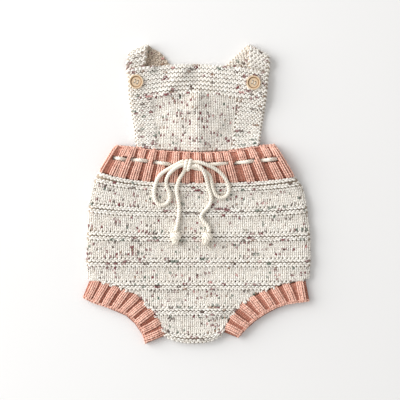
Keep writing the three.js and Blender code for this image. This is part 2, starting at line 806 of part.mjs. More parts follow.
// Height of the middle of a strap's cloth above the surface, at a place on its back leg.
function backLegZ(side, x, y) {
  if (side === "left") return STRAP_LOW;
  const crossed = under(STRAPS.left, awayFrom(STRAPS.left.back, x, y), CROSS_MARGIN, CROSS_REACH);
  return STRAP_LOW + STRAP_STEP * crossed * ease(...CROSS_ENDS, y);
}

// And on its front leg, which comes down from the fold to the surface under the bib's corner.
const frontLegZ = (strap, y) => STRAP_LOW + 2 * strap.turn * ease(STRAP_RISE_FROM, STRAP_RISE_TO, y);

const STRAP_COLUMNS = [-1, -0.86, 0, 0.86, 1];
const FOLD_START = -1.2; // the last valley before the fold
const FOLD_STEPS = 8;
const RIDGED_PAST_FOLD = 32; // the back leg shows for this far
const HIDDEN_STATIONS = 9;
const LEVEL_END = 16; // the far end turns level over this length, to meet the back of the band
const SKEW_BEFORE = [-30, -8]; // stations turn to run along the fold line over these lengths from it
const SKEW_AFTER = [36, 12];
const END_INSET = 2;
const ROUND_OF_FOLD = 1.5; // the cloth is plain within this angle of the fold's outermost line
const EDGE_THICKNESS = 0.5;

// Places along a strap: at each ridge and valley where it shows, close together round the fold, and far
// apart behind the bib.
function strapStations(strap, fold, length) {
  const first = fold + FOLD_START;
  const round = Math.PI * strap.turn;
  const seen = fold + RIDGED_PAST_FOLD;
  const stations = [first];
  for (let k = 0; k <= FOLD_STEPS; k += 1) stations.push(fold + (round * k) / FOLD_STEPS);
  for (let s = first - RIDGE_PITCH / 2; s > 0; s -= RIDGE_PITCH / 2) stations.push(s);
  for (let s = first; s < seen; s += RIDGE_PITCH / 2) if (s > fold + round + 1) stations.push(s);
  for (let k = 0; k <= HIDDEN_STATIONS; k += 1) stations.push(mix(seen, length, k / HIDDEN_STATIONS));
  return stations.sort((p, q) => p - q);
}

function strapWall(side) {
  const strap = STRAPS[side];
  const line = unfoldedLine(strap);
  const length = line.getLength();
  const front = [...strap.front, strap.foldAt].map(([x, y]) => new THREE.Vector3(x, y, 0));
  const fold = new THREE.CatmullRomCurve3(front, false, "centripetal").getLength();
  const stations = strapStations(strap, fold, length);
  const turn = (strap.foldAngle * Math.PI) / 180;
  const up = [-Math.sin(turn), Math.cos(turn)];
  const level = [Math.cos(2 * turn), Math.sin(2 * turn)];
  const atFold = line.getTangentAt(fold / length);
  const skew = -(atFold.y * up[0] - atFold.x * up[1]) / (atFold.x * up[0] + atFold.y * up[1]);
  const point = (i, j, face) => {
    const reach = (strap.width / 2) * STRAP_COLUMNS[j];
    const fromFold = stations[i] - fold;
    const near = ease(...SKEW_BEFORE, fromFold) * ease(...SKEW_AFTER, fromFold);
    const s = clamp(stations[i] + skew * reach * near, 0, length);
    const centre = line.getPointAt(s / length);
    const tangent = line.getTangentAt(s / length);
    const end = ease(length - LEVEL_END, length - END_INSET, s);
    const lean = Math.abs(tangent.y * level[0] - tangent.x * level[1]);
    const x = centre.x + mix(tangent.y, level[0] / lean, end) * reach;
    const y = centre.y + mix(-tangent.x, level[1] / lean, end) * reach;
    const past = (x - strap.foldAt[0]) * up[0] + (y - strap.foldAt[1]) * up[1];
    const bend = clamp(past / strap.turn, 0, Math.PI);
    const folded = foldOver(strap, x, y);
    const shows = face > 0 ? bend < Math.PI / 2 : bend > Math.PI / 2 && fromFold < RIDGED_PAST_FOLD;
    const beat = (fromFold - FOLD_START) / RIDGE_PITCH;
    const flat = Math.abs(bend - Math.PI / 2) > ROUND_OF_FOLD;
    const relief = shows && flat ? STRAP_RELIEF * (0.5 - 0.5 * Math.cos(2 * Math.PI * beat)) : 0;
    const edge = Math.abs(STRAP_COLUMNS[j]) === 1 ? EDGE_THICKNESS : 1;
    const out = face * edge * (STRAP_CLOTH / 2 + relief);
    const turned = bend / Math.PI;
    const high = mix(frontLegZ(strap, y), STRAP_LOW + 2 * strap.turn, clamp(bend * 2, 0, 1));
    const lifted = turned * (backLegZ(side, folded[0], folded[1]) - STRAP_LOW);
    return [
      folded[0] + out * Math.sin(bend) * up[0],
      folded[1] + out * Math.sin(bend) * up[1],
      high + folded[2] + lifted + out * Math.cos(bend),
    ];
  };
  return wall(
    stations.length,
    STRAP_COLUMNS.length,
    (i, j) => point(i, j, 1),
    (i, j) => point(i, j, -1),
    false,
  );
}

// Bib

const bibTopY = (x) => readTable(BIB_TOP, "x", "y", x);

const BIB_EDGE = { low: 54, high: 137 };

function bibPlace(share, up) {
  const edgeY = mix(BIB_EDGE.low, BIB_EDGE.high, up);
  const left = readTable(BIB_SIDES, "y", "left", edgeY);
  const right = readTable(BIB_SIDES, "y", "right", edgeY);
  const x = mix(left, right, share);
  const low = bandRimY(mix(BIB_SIDES[4].left, BIB_SIDES[4].right, share)) + SEAM;
  const high = bibTopY(mix(BIB_SIDES[0].left, BIB_SIDES[0].right, share));
  return [x, mix(low, high, up)];
}

const DRAPE_MARGIN = 5;
const BIB_JOIN_FULL = 2;
const BIB_EDGE_THIN = 0.7;
const BIB_FRONT_LEG = [108, 84]; // below this the front leg of a strap has ended

// Height of the bib's outer face: it lies on the straps behind it and comes down to the surface beside them.
function bibHeight(x, y) {
  let lift = 0;
  for (const side of ["left", "right"]) {
    const strap = STRAPS[side];
    const back = under(strap, awayFrom(strap.back, x, y), DRAPE_MARGIN, BIB_DRAPE);
    lift = Math.max(lift, back * (backLegZ(side, x, y) + STRAP_CLOTH / 2 + 3 * GAP));
    const frontLeg = [...strap.front, strap.foldAt];
    const overLeg = 1 - ease(...BIB_FRONT_LEG, y);
    const front = under(strap, awayFrom(frontLeg, x, y), DRAPE_MARGIN, BIB_DRAPE) * overLeg;
    lift = Math.max(lift, front * (frontLegZ(strap, y) + STRAP_CLOTH / 2 + STRAP_RELIEF + 2 * GAP));
  }
  const join = ease(bandRimY(x) + BIB_JOIN_REACH, bandRimY(x) + BIB_JOIN_FULL, y);
  const resting = mix(CLOTH + lift, Math.max(BAND_RIM_TOP, CLOTH + lift), join);
  return resting + foldHeight(BIB_FOLDS, x, y);
}

const BIB_SHARES = [
  0, 0.02, 0.08, 0.145, 0.175, 0.22, 0.27, 0.31, 0.35, 0.39, 0.43, 0.465, 0.5, 0.535, 0.58, 0.66, 0.765, 0.795, 0.89,
  0.98, 1,
];

function bibWall() {
  const ups = [];
  for (let k = 0; k <= 2 * BIB_RIDGES; k += 1) ups.push(k / (2 * BIB_RIDGES));
  const bordered = (share, up) => share < BIB_PANEL.left || share > BIB_PANEL.right || up > BIB_PANEL.top;
  const point = (i, j, depth) => {
    const share = BIB_SHARES[j];
    const up = ups[i];
    const [x, y] = bibPlace(share, up);
    const raised = depth === 0 && i % 2 === 1 && bordered(share, up) ? RIDGE_HEIGHT : 0;
    const thin = j === 0 || j === BIB_SHARES.length - 1 ? BIB_EDGE_THIN : 0;
    return [x, y, bibHeight(x, y) - depth + (depth === 0 ? raised - thin : 0)];
  };
  return wall(ups.length, BIB_SHARES.length, (i, j) => point(i, j, 0), (i, j) => point(i, j, CLOTH), false);
}

// Cuffs

const LEG_SEAM_TOP = -95;
const RIB_STEPS = [0.14, 0.34, 0.66, 0.86];
const BACK_CUFF_COLUMNS = 6;
const PEEK_RISES = [0.15, 0.4]; // shares of the cuff between which the back edge comes out, and goes back
const PEEK_FALLS = [1, 0.8];

// The leg seam of the body, from the side to the crotch.
function legSeam(side) {
  const table = side === "left" ? BODY_LEFT : BODY_RIGHT;
  const line = new THREE.CurvePath();
  const points = table.filter((row) => row.y <= LEG_SEAM_TOP).map((row) => new THREE.Vector3(row.x, row.y, 0));
  for (let i = 0; i < points.length - 1; i += 1) line.add(new THREE.LineCurve3(points[i], points[i + 1]));
  return line;
}

function cuffWall(side, up) {
  const seam = legSeam(side);
  const edge = new THREE.CatmullRomCurve3(
    CUFF_EDGES[side].map(([x, y]) => new THREE.Vector3(x, y, 0)), false, "centripetal");
  const shares = [];
  const ribs = up ? CUFF_RIBS[side] : BACK_CUFF_COLUMNS;
  for (let k = 0; k < ribs; k += 1)
    for (const step of up ? RIB_STEPS : [0.5]) shares.push((k + step) / ribs);
  const columns = foldColumns(shares);
  const downs = up ? [0, 0.1, 0.9, 1] : [0, 0.5, 1];
  const point = (i, j, depth) => {
    const down = downs[i];
    const length = mix(seam.getLength(), edge.getLength(), down);
    const share = clamp(columnPlace(columns[j], length, CUFF_FOLD_WIDTH, depth, 1) / length, 0, 1);
    const from = seam.getPointAt(share);
    const to = edge.getPointAt(share);
    const dx = to.x - from.x;
    const dy = to.y - from.y;
    const far = Math.hypot(dx, dy);
    const peek = up ? 0 : CUFF_BACK_PEEK * ease(...PEEK_RISES, share) * ease(...PEEK_FALLS, share);
    const out = mix(2 * SEAM, far + peek, down) / far;
    const x = from.x + dx * out;
    const y = from.y + dy * out;
    const lift = columnRise(columns[j], 1);
    const rim = down === 0 || down === 1 ? 0.5 : 1;
    const wave = 0.5 - 0.5 * Math.cos(2 * Math.PI * clamp(share, 0, 1) * CUFF_RIBS[side]);
    const relief = up && depth === 0 ? CUFF_RIB_HEIGHT * rim * wave : 0;
    const top = mix(bodyTop(from.x, from.y), CUFF_EDGE_TOP, down);
    const z = up ? frontHeight(top, lift, depth) : backHeight(lift, depth);
    return [x, y, z + relief * lift];
  };
  const facing = side === "left" ? up : !up;
  return wall(downs.length, columns.length, (i, j) => point(i, j, 0), (i, j) => point(i, j, CLOTH), facing);
}

// Buttons

const BUTTON_SIDES = 20;
const HOLE_SIDES = 8;
const DRILL_LENGTH = 12;

function button() {
  const profile = BUTTON_PROFILE.map((p) => new THREE.Vector2(p.r, p.z));
  const turned = new THREE.LatheGeometry(profile, BUTTON_SIDES).rotateX(Math.PI / 2);
  let made = solid(turned);
  for (const [sx, sy] of [[1, 1], [1, -1], [-1, 1], [-1, -1]]) {
    const hole = new THREE.CylinderGeometry(BUTTON_HOLE_RADIUS, BUTTON_HOLE_RADIUS, DRILL_LENGTH, HOLE_SIDES);
    hole.rotateX(Math.PI / 2);
    hole.translate(sx * BUTTON_HOLE_OFFSET, sy * BUTTON_HOLE_OFFSET, 0);
    made = made.subtract(solid(hole));
  }
  return geometryOf(made);
}

function buttonZ(x, y) {
  let most = 0;
  for (let k = 0; k < 12; k += 1)
    for (const r of [0, BUTTON_RADIUS / 2, BUTTON_RADIUS]) {
      const a = (k * Math.PI) / 6;
      most = Math.max(most, bibHeight(x + r * Math.cos(a), y + r * Math.sin(a)));
    }
  return most + RIDGE_HEIGHT + GAP;
}

// Knots

const KNOT_SIDES = 12;
const KNOT_RINGS = 8;

function bowKnot() {
  const round = new THREE.SphereGeometry(1, KNOT_SIDES, KNOT_RINGS);
  return round.scale(KNOT.rx, KNOT.ry, KNOT.rz);
}

function endKnot(towards) {
  const profile = END_KNOT_PROFILE.map((p) => new THREE.Vector2(p.r, p.along));
  const turned = new THREE.LatheGeometry(profile, KNOT_SIDES);
  const heading = Math.atan2(towards[1], towards[0]) - Math.PI / 2;
  return turned.rotateZ(heading);
}

// Finishes

const cream = new THREE.MeshStandardMaterial({ color: 0xddd3c7, roughness: 0.95, metalness: 0 });
const coral = new THREE.MeshStandardMaterial({ color: 0xd2957f, roughness: 0.95, metalness: 0 });
const string = new THREE.MeshStandardMaterial({ color: 0xe6dccd, roughness: 0.9, metalness: 0 });
const wood = new THREE.MeshStandardMaterial({ color: 0xdcc6ad, roughness: 0.6, metalness: 0 });

// The garment

const romper = new THREE.Group();

function add(name, geometry, material, place = [0, 0, 0]) {
  const mesh = new THREE.Mesh(geometry, material);
  mesh.name = name;
  mesh.position.set(...place);
  romper.add(mesh);
}

const FRONT_SHARES = [0.08, 0.22, 0.36, 0.5, 0.64, 0.78, 0.92];
const BACK_SHARES = [0.2, 0.4, 0.6, 0.8];

add("back_panel", bodyWall(BACK_ROWS, BACK_SHARES, false), cream);
add("front_panel", bodyWall(frontRows(), FRONT_SHARES, true), cream);

const TURN_INSET = 1.5;
const waist = curveOf(waistRun());
const turnLeft = lengthTo(waist, WEAVE[0].x + TURN_INSET, false);
const turnRight = lengthTo(waist, WEAVE.at(-1).x - TURN_INSET, true);
const WAIST_STRETCHES = {
  drawstring_front_left: new Stretch(waist, 0, turnLeft - 2 * GAP),
  drawstring_back: new Stretch(waist, turnLeft + GAP, turnRight - GAP),
  drawstring_front_right: new Stretch(waist, turnRight + 2 * GAP, waist.getLength()),
};
const waistStep = (name) => (name === "drawstring_back" ? CORD_STEP : WEAVE_STEP);
add("waistband_back", bandWall(BACK_SHARES, [0, 0.5, 1], false), coral);
let bandFront = solid(bandWall(bandShares(), BAND_ROWS, true));
for (const eyelet of eyelets()) bandFront = bandFront.subtract(solid(eyelet));
add("waistband_front", geometryOf(bandFront), coral);

for (const side of ["left", "right"]) {
  add("cuff_back_" + side, cuffWall(side, false), coral);
  add("cuff_front_" + side, cuffWall(side, true), coral);
}

for (const side of ["left", "right"]) add("strap_" + side, strapWall(side), cream);
add("bib", bibWall(), cream);

for (const side of ["left", "right"]) {
  const [x, y] = BUTTON_PLACES[side];
  add("button_" + side, button(), wood, [x, y, buttonZ(x, y)]);
}

for (const [name, path] of Object.entries(WAIST_STRETCHES))
  add(name, tube(path, CORD_DIAMETER / 2, waistStep(name)), string);
add("bow_loop_left", tube(curveOf(LOOP_LEFT), CORD_DIAMETER / 2, CORD_STEP), string);
add("bow_loop_right", tube(curveOf(LOOP_RIGHT), CORD_DIAMETER / 2, CORD_STEP), string);
add("bow_tail_left", tube(curveOf(TAIL_LEFT), CORD_DIAMETER / 2, CORD_STEP), string);
add("bow_tail_right", tube(curveOf(TAIL_RIGHT), CORD_DIAMETER / 2, CORD_STEP), string);
add("bow_knot", bowKnot(), string, [KNOT.x, KNOT.y, KNOT.z]);
for (const side of ["left", "right"])
  add("end_knot_" + side, endKnot(END_KNOTS[side].towards), string, END_KNOTS[side].at);

export default romper;
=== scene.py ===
"""Hand-knitted baby romper, laid flat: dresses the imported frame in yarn, stitch by stitch.

Plan sizes are in millimetres in the tables, as in the part's source, and metres on every mesh.
"""

import json
import math

import bmesh
import bpy
import numpy as np
from mathutils import Vector
from mathutils.bvhtree import BVHTree
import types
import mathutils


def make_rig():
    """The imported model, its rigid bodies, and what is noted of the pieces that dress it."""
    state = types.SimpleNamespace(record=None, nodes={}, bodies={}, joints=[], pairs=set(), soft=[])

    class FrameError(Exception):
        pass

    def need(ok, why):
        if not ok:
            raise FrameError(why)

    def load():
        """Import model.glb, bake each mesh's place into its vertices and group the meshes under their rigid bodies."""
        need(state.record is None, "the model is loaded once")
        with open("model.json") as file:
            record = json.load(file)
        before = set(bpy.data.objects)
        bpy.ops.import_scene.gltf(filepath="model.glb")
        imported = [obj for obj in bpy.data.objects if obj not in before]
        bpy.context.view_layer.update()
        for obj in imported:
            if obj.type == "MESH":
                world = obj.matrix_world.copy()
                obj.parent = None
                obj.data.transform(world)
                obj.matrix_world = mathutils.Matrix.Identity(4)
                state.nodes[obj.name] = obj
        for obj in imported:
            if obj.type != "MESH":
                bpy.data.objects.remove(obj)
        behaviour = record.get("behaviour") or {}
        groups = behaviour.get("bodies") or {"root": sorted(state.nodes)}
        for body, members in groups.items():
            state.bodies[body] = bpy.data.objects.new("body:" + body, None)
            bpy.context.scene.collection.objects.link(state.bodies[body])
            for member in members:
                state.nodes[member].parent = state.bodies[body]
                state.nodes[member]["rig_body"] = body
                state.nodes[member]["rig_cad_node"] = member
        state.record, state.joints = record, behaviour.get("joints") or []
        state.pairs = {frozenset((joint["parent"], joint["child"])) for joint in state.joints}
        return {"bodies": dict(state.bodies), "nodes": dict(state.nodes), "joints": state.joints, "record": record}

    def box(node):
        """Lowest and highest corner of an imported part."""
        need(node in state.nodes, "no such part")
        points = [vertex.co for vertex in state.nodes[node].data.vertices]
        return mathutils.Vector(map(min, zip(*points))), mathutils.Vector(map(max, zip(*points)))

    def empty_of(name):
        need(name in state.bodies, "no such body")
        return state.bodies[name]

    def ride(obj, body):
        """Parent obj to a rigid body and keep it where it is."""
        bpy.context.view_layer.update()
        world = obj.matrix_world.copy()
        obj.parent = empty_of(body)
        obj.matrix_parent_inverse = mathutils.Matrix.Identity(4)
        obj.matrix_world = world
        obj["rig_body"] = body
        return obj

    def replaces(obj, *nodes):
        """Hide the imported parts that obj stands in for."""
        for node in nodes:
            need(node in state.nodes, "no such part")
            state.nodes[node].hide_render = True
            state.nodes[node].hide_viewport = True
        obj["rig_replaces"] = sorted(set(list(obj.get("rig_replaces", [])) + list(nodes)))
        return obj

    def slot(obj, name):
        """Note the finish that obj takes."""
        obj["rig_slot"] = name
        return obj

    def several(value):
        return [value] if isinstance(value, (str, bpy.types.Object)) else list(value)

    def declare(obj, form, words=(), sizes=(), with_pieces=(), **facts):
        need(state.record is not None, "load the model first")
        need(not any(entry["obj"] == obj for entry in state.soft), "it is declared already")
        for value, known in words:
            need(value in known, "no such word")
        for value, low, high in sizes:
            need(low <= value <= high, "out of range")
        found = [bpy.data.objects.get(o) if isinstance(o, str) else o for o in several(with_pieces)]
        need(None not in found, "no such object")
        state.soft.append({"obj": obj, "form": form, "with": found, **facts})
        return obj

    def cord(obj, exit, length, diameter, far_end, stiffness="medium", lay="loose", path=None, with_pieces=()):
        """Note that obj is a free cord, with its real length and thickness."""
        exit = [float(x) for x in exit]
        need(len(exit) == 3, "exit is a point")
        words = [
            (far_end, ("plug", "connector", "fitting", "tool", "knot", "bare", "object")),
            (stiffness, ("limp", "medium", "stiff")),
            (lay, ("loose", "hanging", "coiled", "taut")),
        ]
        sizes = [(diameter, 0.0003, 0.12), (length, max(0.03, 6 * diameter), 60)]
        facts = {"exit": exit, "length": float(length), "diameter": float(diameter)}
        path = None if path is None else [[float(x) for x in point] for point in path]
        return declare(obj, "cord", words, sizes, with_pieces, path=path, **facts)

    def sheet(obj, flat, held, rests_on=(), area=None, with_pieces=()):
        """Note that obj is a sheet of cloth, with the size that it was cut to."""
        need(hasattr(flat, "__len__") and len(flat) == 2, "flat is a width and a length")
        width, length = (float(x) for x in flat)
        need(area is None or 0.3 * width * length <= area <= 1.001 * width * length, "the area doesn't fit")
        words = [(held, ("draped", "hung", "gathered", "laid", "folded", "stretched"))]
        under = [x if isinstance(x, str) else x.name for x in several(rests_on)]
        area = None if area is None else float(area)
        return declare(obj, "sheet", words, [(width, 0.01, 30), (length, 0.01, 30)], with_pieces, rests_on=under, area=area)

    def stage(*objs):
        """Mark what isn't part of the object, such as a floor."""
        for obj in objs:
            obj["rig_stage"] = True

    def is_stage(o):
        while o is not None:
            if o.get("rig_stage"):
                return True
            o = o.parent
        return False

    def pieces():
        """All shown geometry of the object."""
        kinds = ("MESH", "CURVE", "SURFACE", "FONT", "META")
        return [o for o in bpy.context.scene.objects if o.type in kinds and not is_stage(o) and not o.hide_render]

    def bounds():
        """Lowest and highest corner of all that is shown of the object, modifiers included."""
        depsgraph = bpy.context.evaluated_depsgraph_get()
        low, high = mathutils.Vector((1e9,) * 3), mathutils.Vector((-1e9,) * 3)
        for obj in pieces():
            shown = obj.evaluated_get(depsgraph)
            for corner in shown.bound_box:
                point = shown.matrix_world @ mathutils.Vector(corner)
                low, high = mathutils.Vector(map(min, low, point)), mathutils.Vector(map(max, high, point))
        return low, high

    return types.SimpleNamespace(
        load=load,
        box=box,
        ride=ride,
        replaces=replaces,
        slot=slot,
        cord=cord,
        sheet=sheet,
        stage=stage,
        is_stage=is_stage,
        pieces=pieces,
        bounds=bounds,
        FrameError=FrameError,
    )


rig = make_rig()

bl_info = {
    "name": "Knitted Baby Romper",
    "version": (1, 0, 0),
    "blender": (4, 5, 0),
    "location": "View3D > Sidebar > Romper",
    "description": "Knits a baby romper over its frame, with its band, bib, straps, buttons and drawstring",
    "category": "Add Mesh",
}

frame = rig.load()
CAD_BOX = [list(corner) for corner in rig.bounds()]

MM = 0.001

# Body: its sides and leg seams from the band down, as (y, x).
BODY_LEFT = [
    (24, -107.5), (17.5, -112.5), (3.5, -116.5), (-14.5, -119.5), (-44, -121.5), (-74, -122.5),
    (-92, -121), (-95, -118.5), (-97, -104.5), (-102.5, -86.5), (-111.5, -67), (-123.5, -53.5),
    (-135.5, -44), (-148, -37.5), (-157, -35),
]
BODY_RIGHT = [
    (24, 105), (18.5, 108.5), (5.5, 118), (-24.5, 123), (-54, 125.5), (-76, 125.5), (-92, 124.5),
    (-95, 120), (-99.5, 95.5), (-107.5, 72), (-117.5, 54), (-126.5, 42), (-139.5, 34.5), (-153, 29),
]
# How far the two ends of a knitted row stand above its middle, as (row, left, right).
ROW_SAG = [
    (11.5, 12.5, 7), (-20, 5, 4), (-60, 1, 1), (-88, 0, 0), (-130, 0, 0), (-146, 2.5, 4),
    (-165.5, 8.5, 12.5),
]
SAG_POWER = 3
BODY_TOP = 11.5
BODY_WIDTH = 244  # over which its wales are counted
LEG_TOP = -92
SEAM = 0.5
STRIPES = [7.5, -20.5, -48, -76, -101.5, -129.5, -160]
RIDGE_PITCH = 4.9
# The garter stands proud, and the plain cloth between sinks, most just below each stripe.
STRIPE_LIFT = 0.9
PLAIN_SINK = 1.3
SINK_POWER = 0.6

# Band
BAND_TOP_LEFT = -89
BAND_TOP_RIGHT = 86.5
BAND_RIM = [(-89, 54), (-69, 52), (-46.5, 48.5), (3.5, 46), (39, 47.5), (67.5, 53), (86.5, 54)]
BAND_RIBS = [-99, -85, -76.5, -64.5, -52, -39.5, -24.5, -12, 1.5, 14.5, 26.5, 36.5, 53.5, 66.5, 82, 93]
BAND_DEPTH = 42
BAND_EDGE_STITCHES = 48
BAND_EDGE_PITCH = 3.66

# Bib: its sides as (y, left, right), its top edge as (x, y), its plain panel as shares.
BIB_SIDES = [(137, -77, 79.5), (112.5, -76, 77.5), (92.5, -73, 74.5), (77, -70, 72), (54, -67.5, 69)]
BIB_TOP = [(-77, 137), (-46.5, 141), (-19, 143), (3.5, 143.5), (20, 142), (51, 139.5), (79.5, 133.5)]
BIB_RIDGES = 19
BIB_PANEL = {"left": 0.16, "right": 0.78, "top": 0.64}
BIB_HEIGHT = 92
BIB_COLUMNS = 37
# Rows half way up the bib bow upwards: how far, and the share of it that their ends come down.
BIB_BOW = 5.5
BIB_BOW_ENDS = 0.55

# Cuffs: their open edges, from the side of the garment to the crotch.
CUFF_EDGES = {
    "left": [
        (-126.3, -114.5), (-112.5, -121), (-92.5, -127.5), (-76.5, -134.5), (-67, -143.5), (-60, -155),
        (-57, -166),
    ],
    "right": [(124.5, -118.5), (101.5, -121.5), (85.5, -126.5), (70, -135.5), (57.5, -145), (46, -159.5)],
}
CUFF_RIBS = {"left": 9, "right": 8}
CUFF_SEAM_TOP = -95
CUFF_DEPTH = 24
CUFF_EDGE_PITCH = 3.8
RIB_SWAY = 0.5

# Straps: the middle line up from the button, over the fold and down behind the bib.
STRAPS = {
    "left": {
        "width": 21,
        "turn": 4.2,
        "fold_at": (-65, 155),
        "fold_angle": 20,
        "front": [(-63.5, 109), (-66, 122), (-68, 140)],
        "back": [(-56, 152.5), (-46.5, 147.5), (-39.5, 138), (-28, 119), (0, 76.5), (19, 49.5)],
    },
    "right": {
        "width": 24,
        "turn": 3,
        "fold_at": (67.6, 154.3),
        "fold_angle": -29,
        "front": [(62.5, 109), (65.5, 122), (68.8, 140)],
        "back": [(57, 149.5), (46, 139), (36.5, 129), (24.5, 112), (0, 76.5), (-18, 49.5)],
    },
}
STRAP_CLOTH = 2.2
STRAP_LOW = 1.15
STRAP_STEP = 2.8  # the right strap lies this much higher where it crosses the left one
STRAP_CROSS_MARGIN = 4
STRAP_CROSS_REACH = 12
STRAP_CROSS_ENDS = (112, 128)
STRAP_LEVEL_END = 16
STRAP_RISE = (130, 149)
# Rows turn to run along the fold line between these distances before it, and after it.
STRAP_SKEW = [(-30, -8), (36, 12)]
STRAP_PITCH = 4.6
STRAP_STITCH = 4.1
STRAP_YARN_RADIUS = 1.1

# Buttons
BUTTON_PLACES = {"left": (-67, 123.5), "right": (62.5, 122.5)}
BUTTON_RADIUS = 7.7
# The face is inset by this much, and then moved up by this much, in turn: rim, step, dish and boss.
BUTTON_INSETS = [(1.3, 0), (0.3, -1.7), (0.55, 0), (0.5, 0.5)]
BUTTON_EDGE = 0.32
# Radii of the ring in the dish by the rim that takes darker wood tones: painted shade of the rim
BUTTON_PAINTED_SHADE_RING = (5.3, 6.35)
HOLE_RADIUS = 0.95
# Holes of a button, turned a little, and how a thread runs from one to the next: share, sideways, height.
BUTTON_HOLES = [(-2.04, -0.78), (-0.78, 2.04), (0.78, -2.04), (2.04, 0.78)]
THREAD_BOW = [
    (0, 1, -1.9), (0.03, 1, -0.2), (0.25, 0.7, 0.34), (0.75, 0.7, 0.34), (0.97, 1, -0.2), (1, 1, -1.9),
]
THREAD_HEIGHT = 2.3
THREAD_DIAMETER = 0.52

# Drawstring: the points that each stretch follows.
WAIST_ROUTE = [
    (-14.4, 30.9, 12.1), (-24.5, 31.5, 6.3), (-31, 32.5, 9.1), (-37.5, 33.5, 11.9), (-44, 34.5, 9.1),
    (-50.5, 35.5, 6.3), (-56.5, 36.3, 9.1), (-62.5, 37, 11.9), (-68.8, 37.3, 9.1), (-75, 37.5, 6.3),
    (-80.2, 38.1, 9.1), (-85.3, 38.8, 11.9), (-88.8, 39.3, 8.7), (-92.3, 39.8, 5.6), (-93.7, 36.2, 5),
    (-92.7, 32.2, 4.8), (-85.3, 29.8, 4.8), (-57.1, 27.3, 4.8), (-28.9, 23.2, 4.8), (-0.6, 22.8, 4.8),
    (27.6, 24, 4.8), (55.8, 26.2, 4.8), (84, 28.9, 4.8), (91.4, 30.9, 4.8), (92.4, 34.9, 5), (91, 38.5, 5.6),
    (85.5, 38, 8.7), (80, 37.5, 11.9), (73.3, 37, 9.1), (66.5, 36.5, 6.3), (60.5, 35.8, 9.1),
    (54.5, 35, 11.9), (47.3, 34.5, 9.1), (40, 34, 6.3), (30.3, 33.3, 9.1), (20.5, 32.5, 11.9),
    (12.3, 32.3, 9.1), (4, 32, 6.3), (-3.4, 31.7, 12.1),
]
LOOP_LEFT = [
    (-14.6, 32, 16.8), (-20.5, 29.8, 17.5), (-26.5, 25.8, 17.4), (-31.2, 20.8, 14.8), (-33.9, 14, 11.2),
    (-33.2, 7.5, 9.7), (-30.6, 0.8, 9.2), (-30.2, -5.5, 9), (-33.2, -10.6, 9), (-38.4, -12.8, 9),
    (-43.4, -10.8, 9), (-46.4, -5.6, 9), (-47.2, 2.4, 9.3), (-45.6, 11, 11), (-41.6, 19.2, 13.2),
    (-36, 24.4, 13.8), (-29.5, 28.3, 14.3), (-23, 31.9, 14.4), (-18, 34.5, 14.4), (-14.6, 35.9, 14.4),
]
LOOP_RIGHT = [
    (-3.4, 34.8, 16.4), (2.4, 34.4, 16.6), (9.4, 32.2, 16.4), (18, 28.4, 14.8), (26.2, 22.6, 13.2),
    (31.8, 15.6, 12), (34.8, 8.4, 9.8), (34.8, 2, 9.2), (31.7, -3, 9), (26.4, -4.4, 9), (21.2, -1.6, 9.1),
    (17.9, 5, 9.8), (16.2, 12.5, 12), (13.8, 20, 13.2), (7.4, 25.6, 13.7), (-2.6, 28.2, 14),
]
TAIL_LEFT = [
    (-12.6, 27, 13.6), (-16, 21.5, 13.4), (-19.7, 15.4, 12.4), (-21.9, 8, 9.9), (-22, 0.8, 9.2),
    (-20.6, -7.5, 9), (-19.6, -15, 9), (-20.2, -24.5, 9), (-21.5, -33, 9), (-22.6, -38.6, 9),
    (-22.8, -41.4, 9.2),
]
TAIL_RIGHT = [
    (-3.5, 30.4, 17.4), (1, 30.2, 18.2), (5.6, 27, 18.4), (8.9, 20.8, 17.2), (11.2, 13, 12.8), (13.2, 5, 10),
    (15.4, -2.6, 9.2), (15.3, -8.8, 9), (12.2, -15, 9), (6.5, -21, 9), (4.6, -25.5, 9), (7.3, -30.4, 9),
    (11.6, -35, 9), (13.4, -39.4, 9), (13, -42.4, 9.2),
]
END_KNOTS = {
    "left": {"at": (-22.9, -42.6, 10.9), "towards": (-1, -9)},
    "right": {"at": (12.8, -43.2, 10.9), "towards": (-3.2, -9)},
}
# The coil round a tail's end: its turns, how far it runs and its radius. Then its core and its brush.
COIL_TURNS = 2.35
COIL_RUN = (1.6, 6.6)
COIL_RADIUS = 3.1
COIL_POINTS = 34
COIL_CORD = 4.2
CORE_RUN = (1.5, 5, 9, 13.5)
CORE_CORD = 5.6
BRUSH_HAIRS = 64
BRUSH_LENGTHS = (7.2, 9.8)
BRUSH_RADII = np.array([0.62, 0.6, 0.5])
# A loose end of yarn that comes out of the right knot.
LOOSE_END = [(9.6, -51.5, 9.8), (8.8, -55, 9.4), (11.2, -58, 9.2), (15, -61.4, 9.2)]
KNOT = (-9, 31.5, 15.2)
# The turns of cord in the bow's knot, as steps from its middle: two over the crossing, and what they hold.
KNOT_TURNS = [
    [(2.8, 4.6, -3.4), (2.2, 4.6, 1.2), (1.2, 1.6, 3.2), (0.2, -2, 3), (-0.8, -4.8, 0.6), (-1.4, -4.6, -3.6)],
    [(-1.6, 4.4, -3.4), (-2.2, 4.2, 0.8), (-3, 1.2, 2.6), (-3.8, -2, 2), (-4.2, -4, -0.4),
     (-3.6, -3.6, -3.6)],
    [(-5.8, 0.5, 1.6), (-3, 0.8, 0.4), (0, 1, 0), (3.2, 2.8, 0.6), (5.8, 3.3, 1.2)],
    [(-4, -4.2, -1.6), (-1, -1.6, -1.4), (2, -2.4, -1.2), (6.6, -3.3, -1.6)],
    [(-0.6, -1.6, -0.2), (2.6, -1.2, 1.4), (5.7, -1.1, 2.2)],
    [(-5.8, 3.9, -1.2), (-3.4, 3, -1.4), (-0.6, 1.8, -1.6)],
]

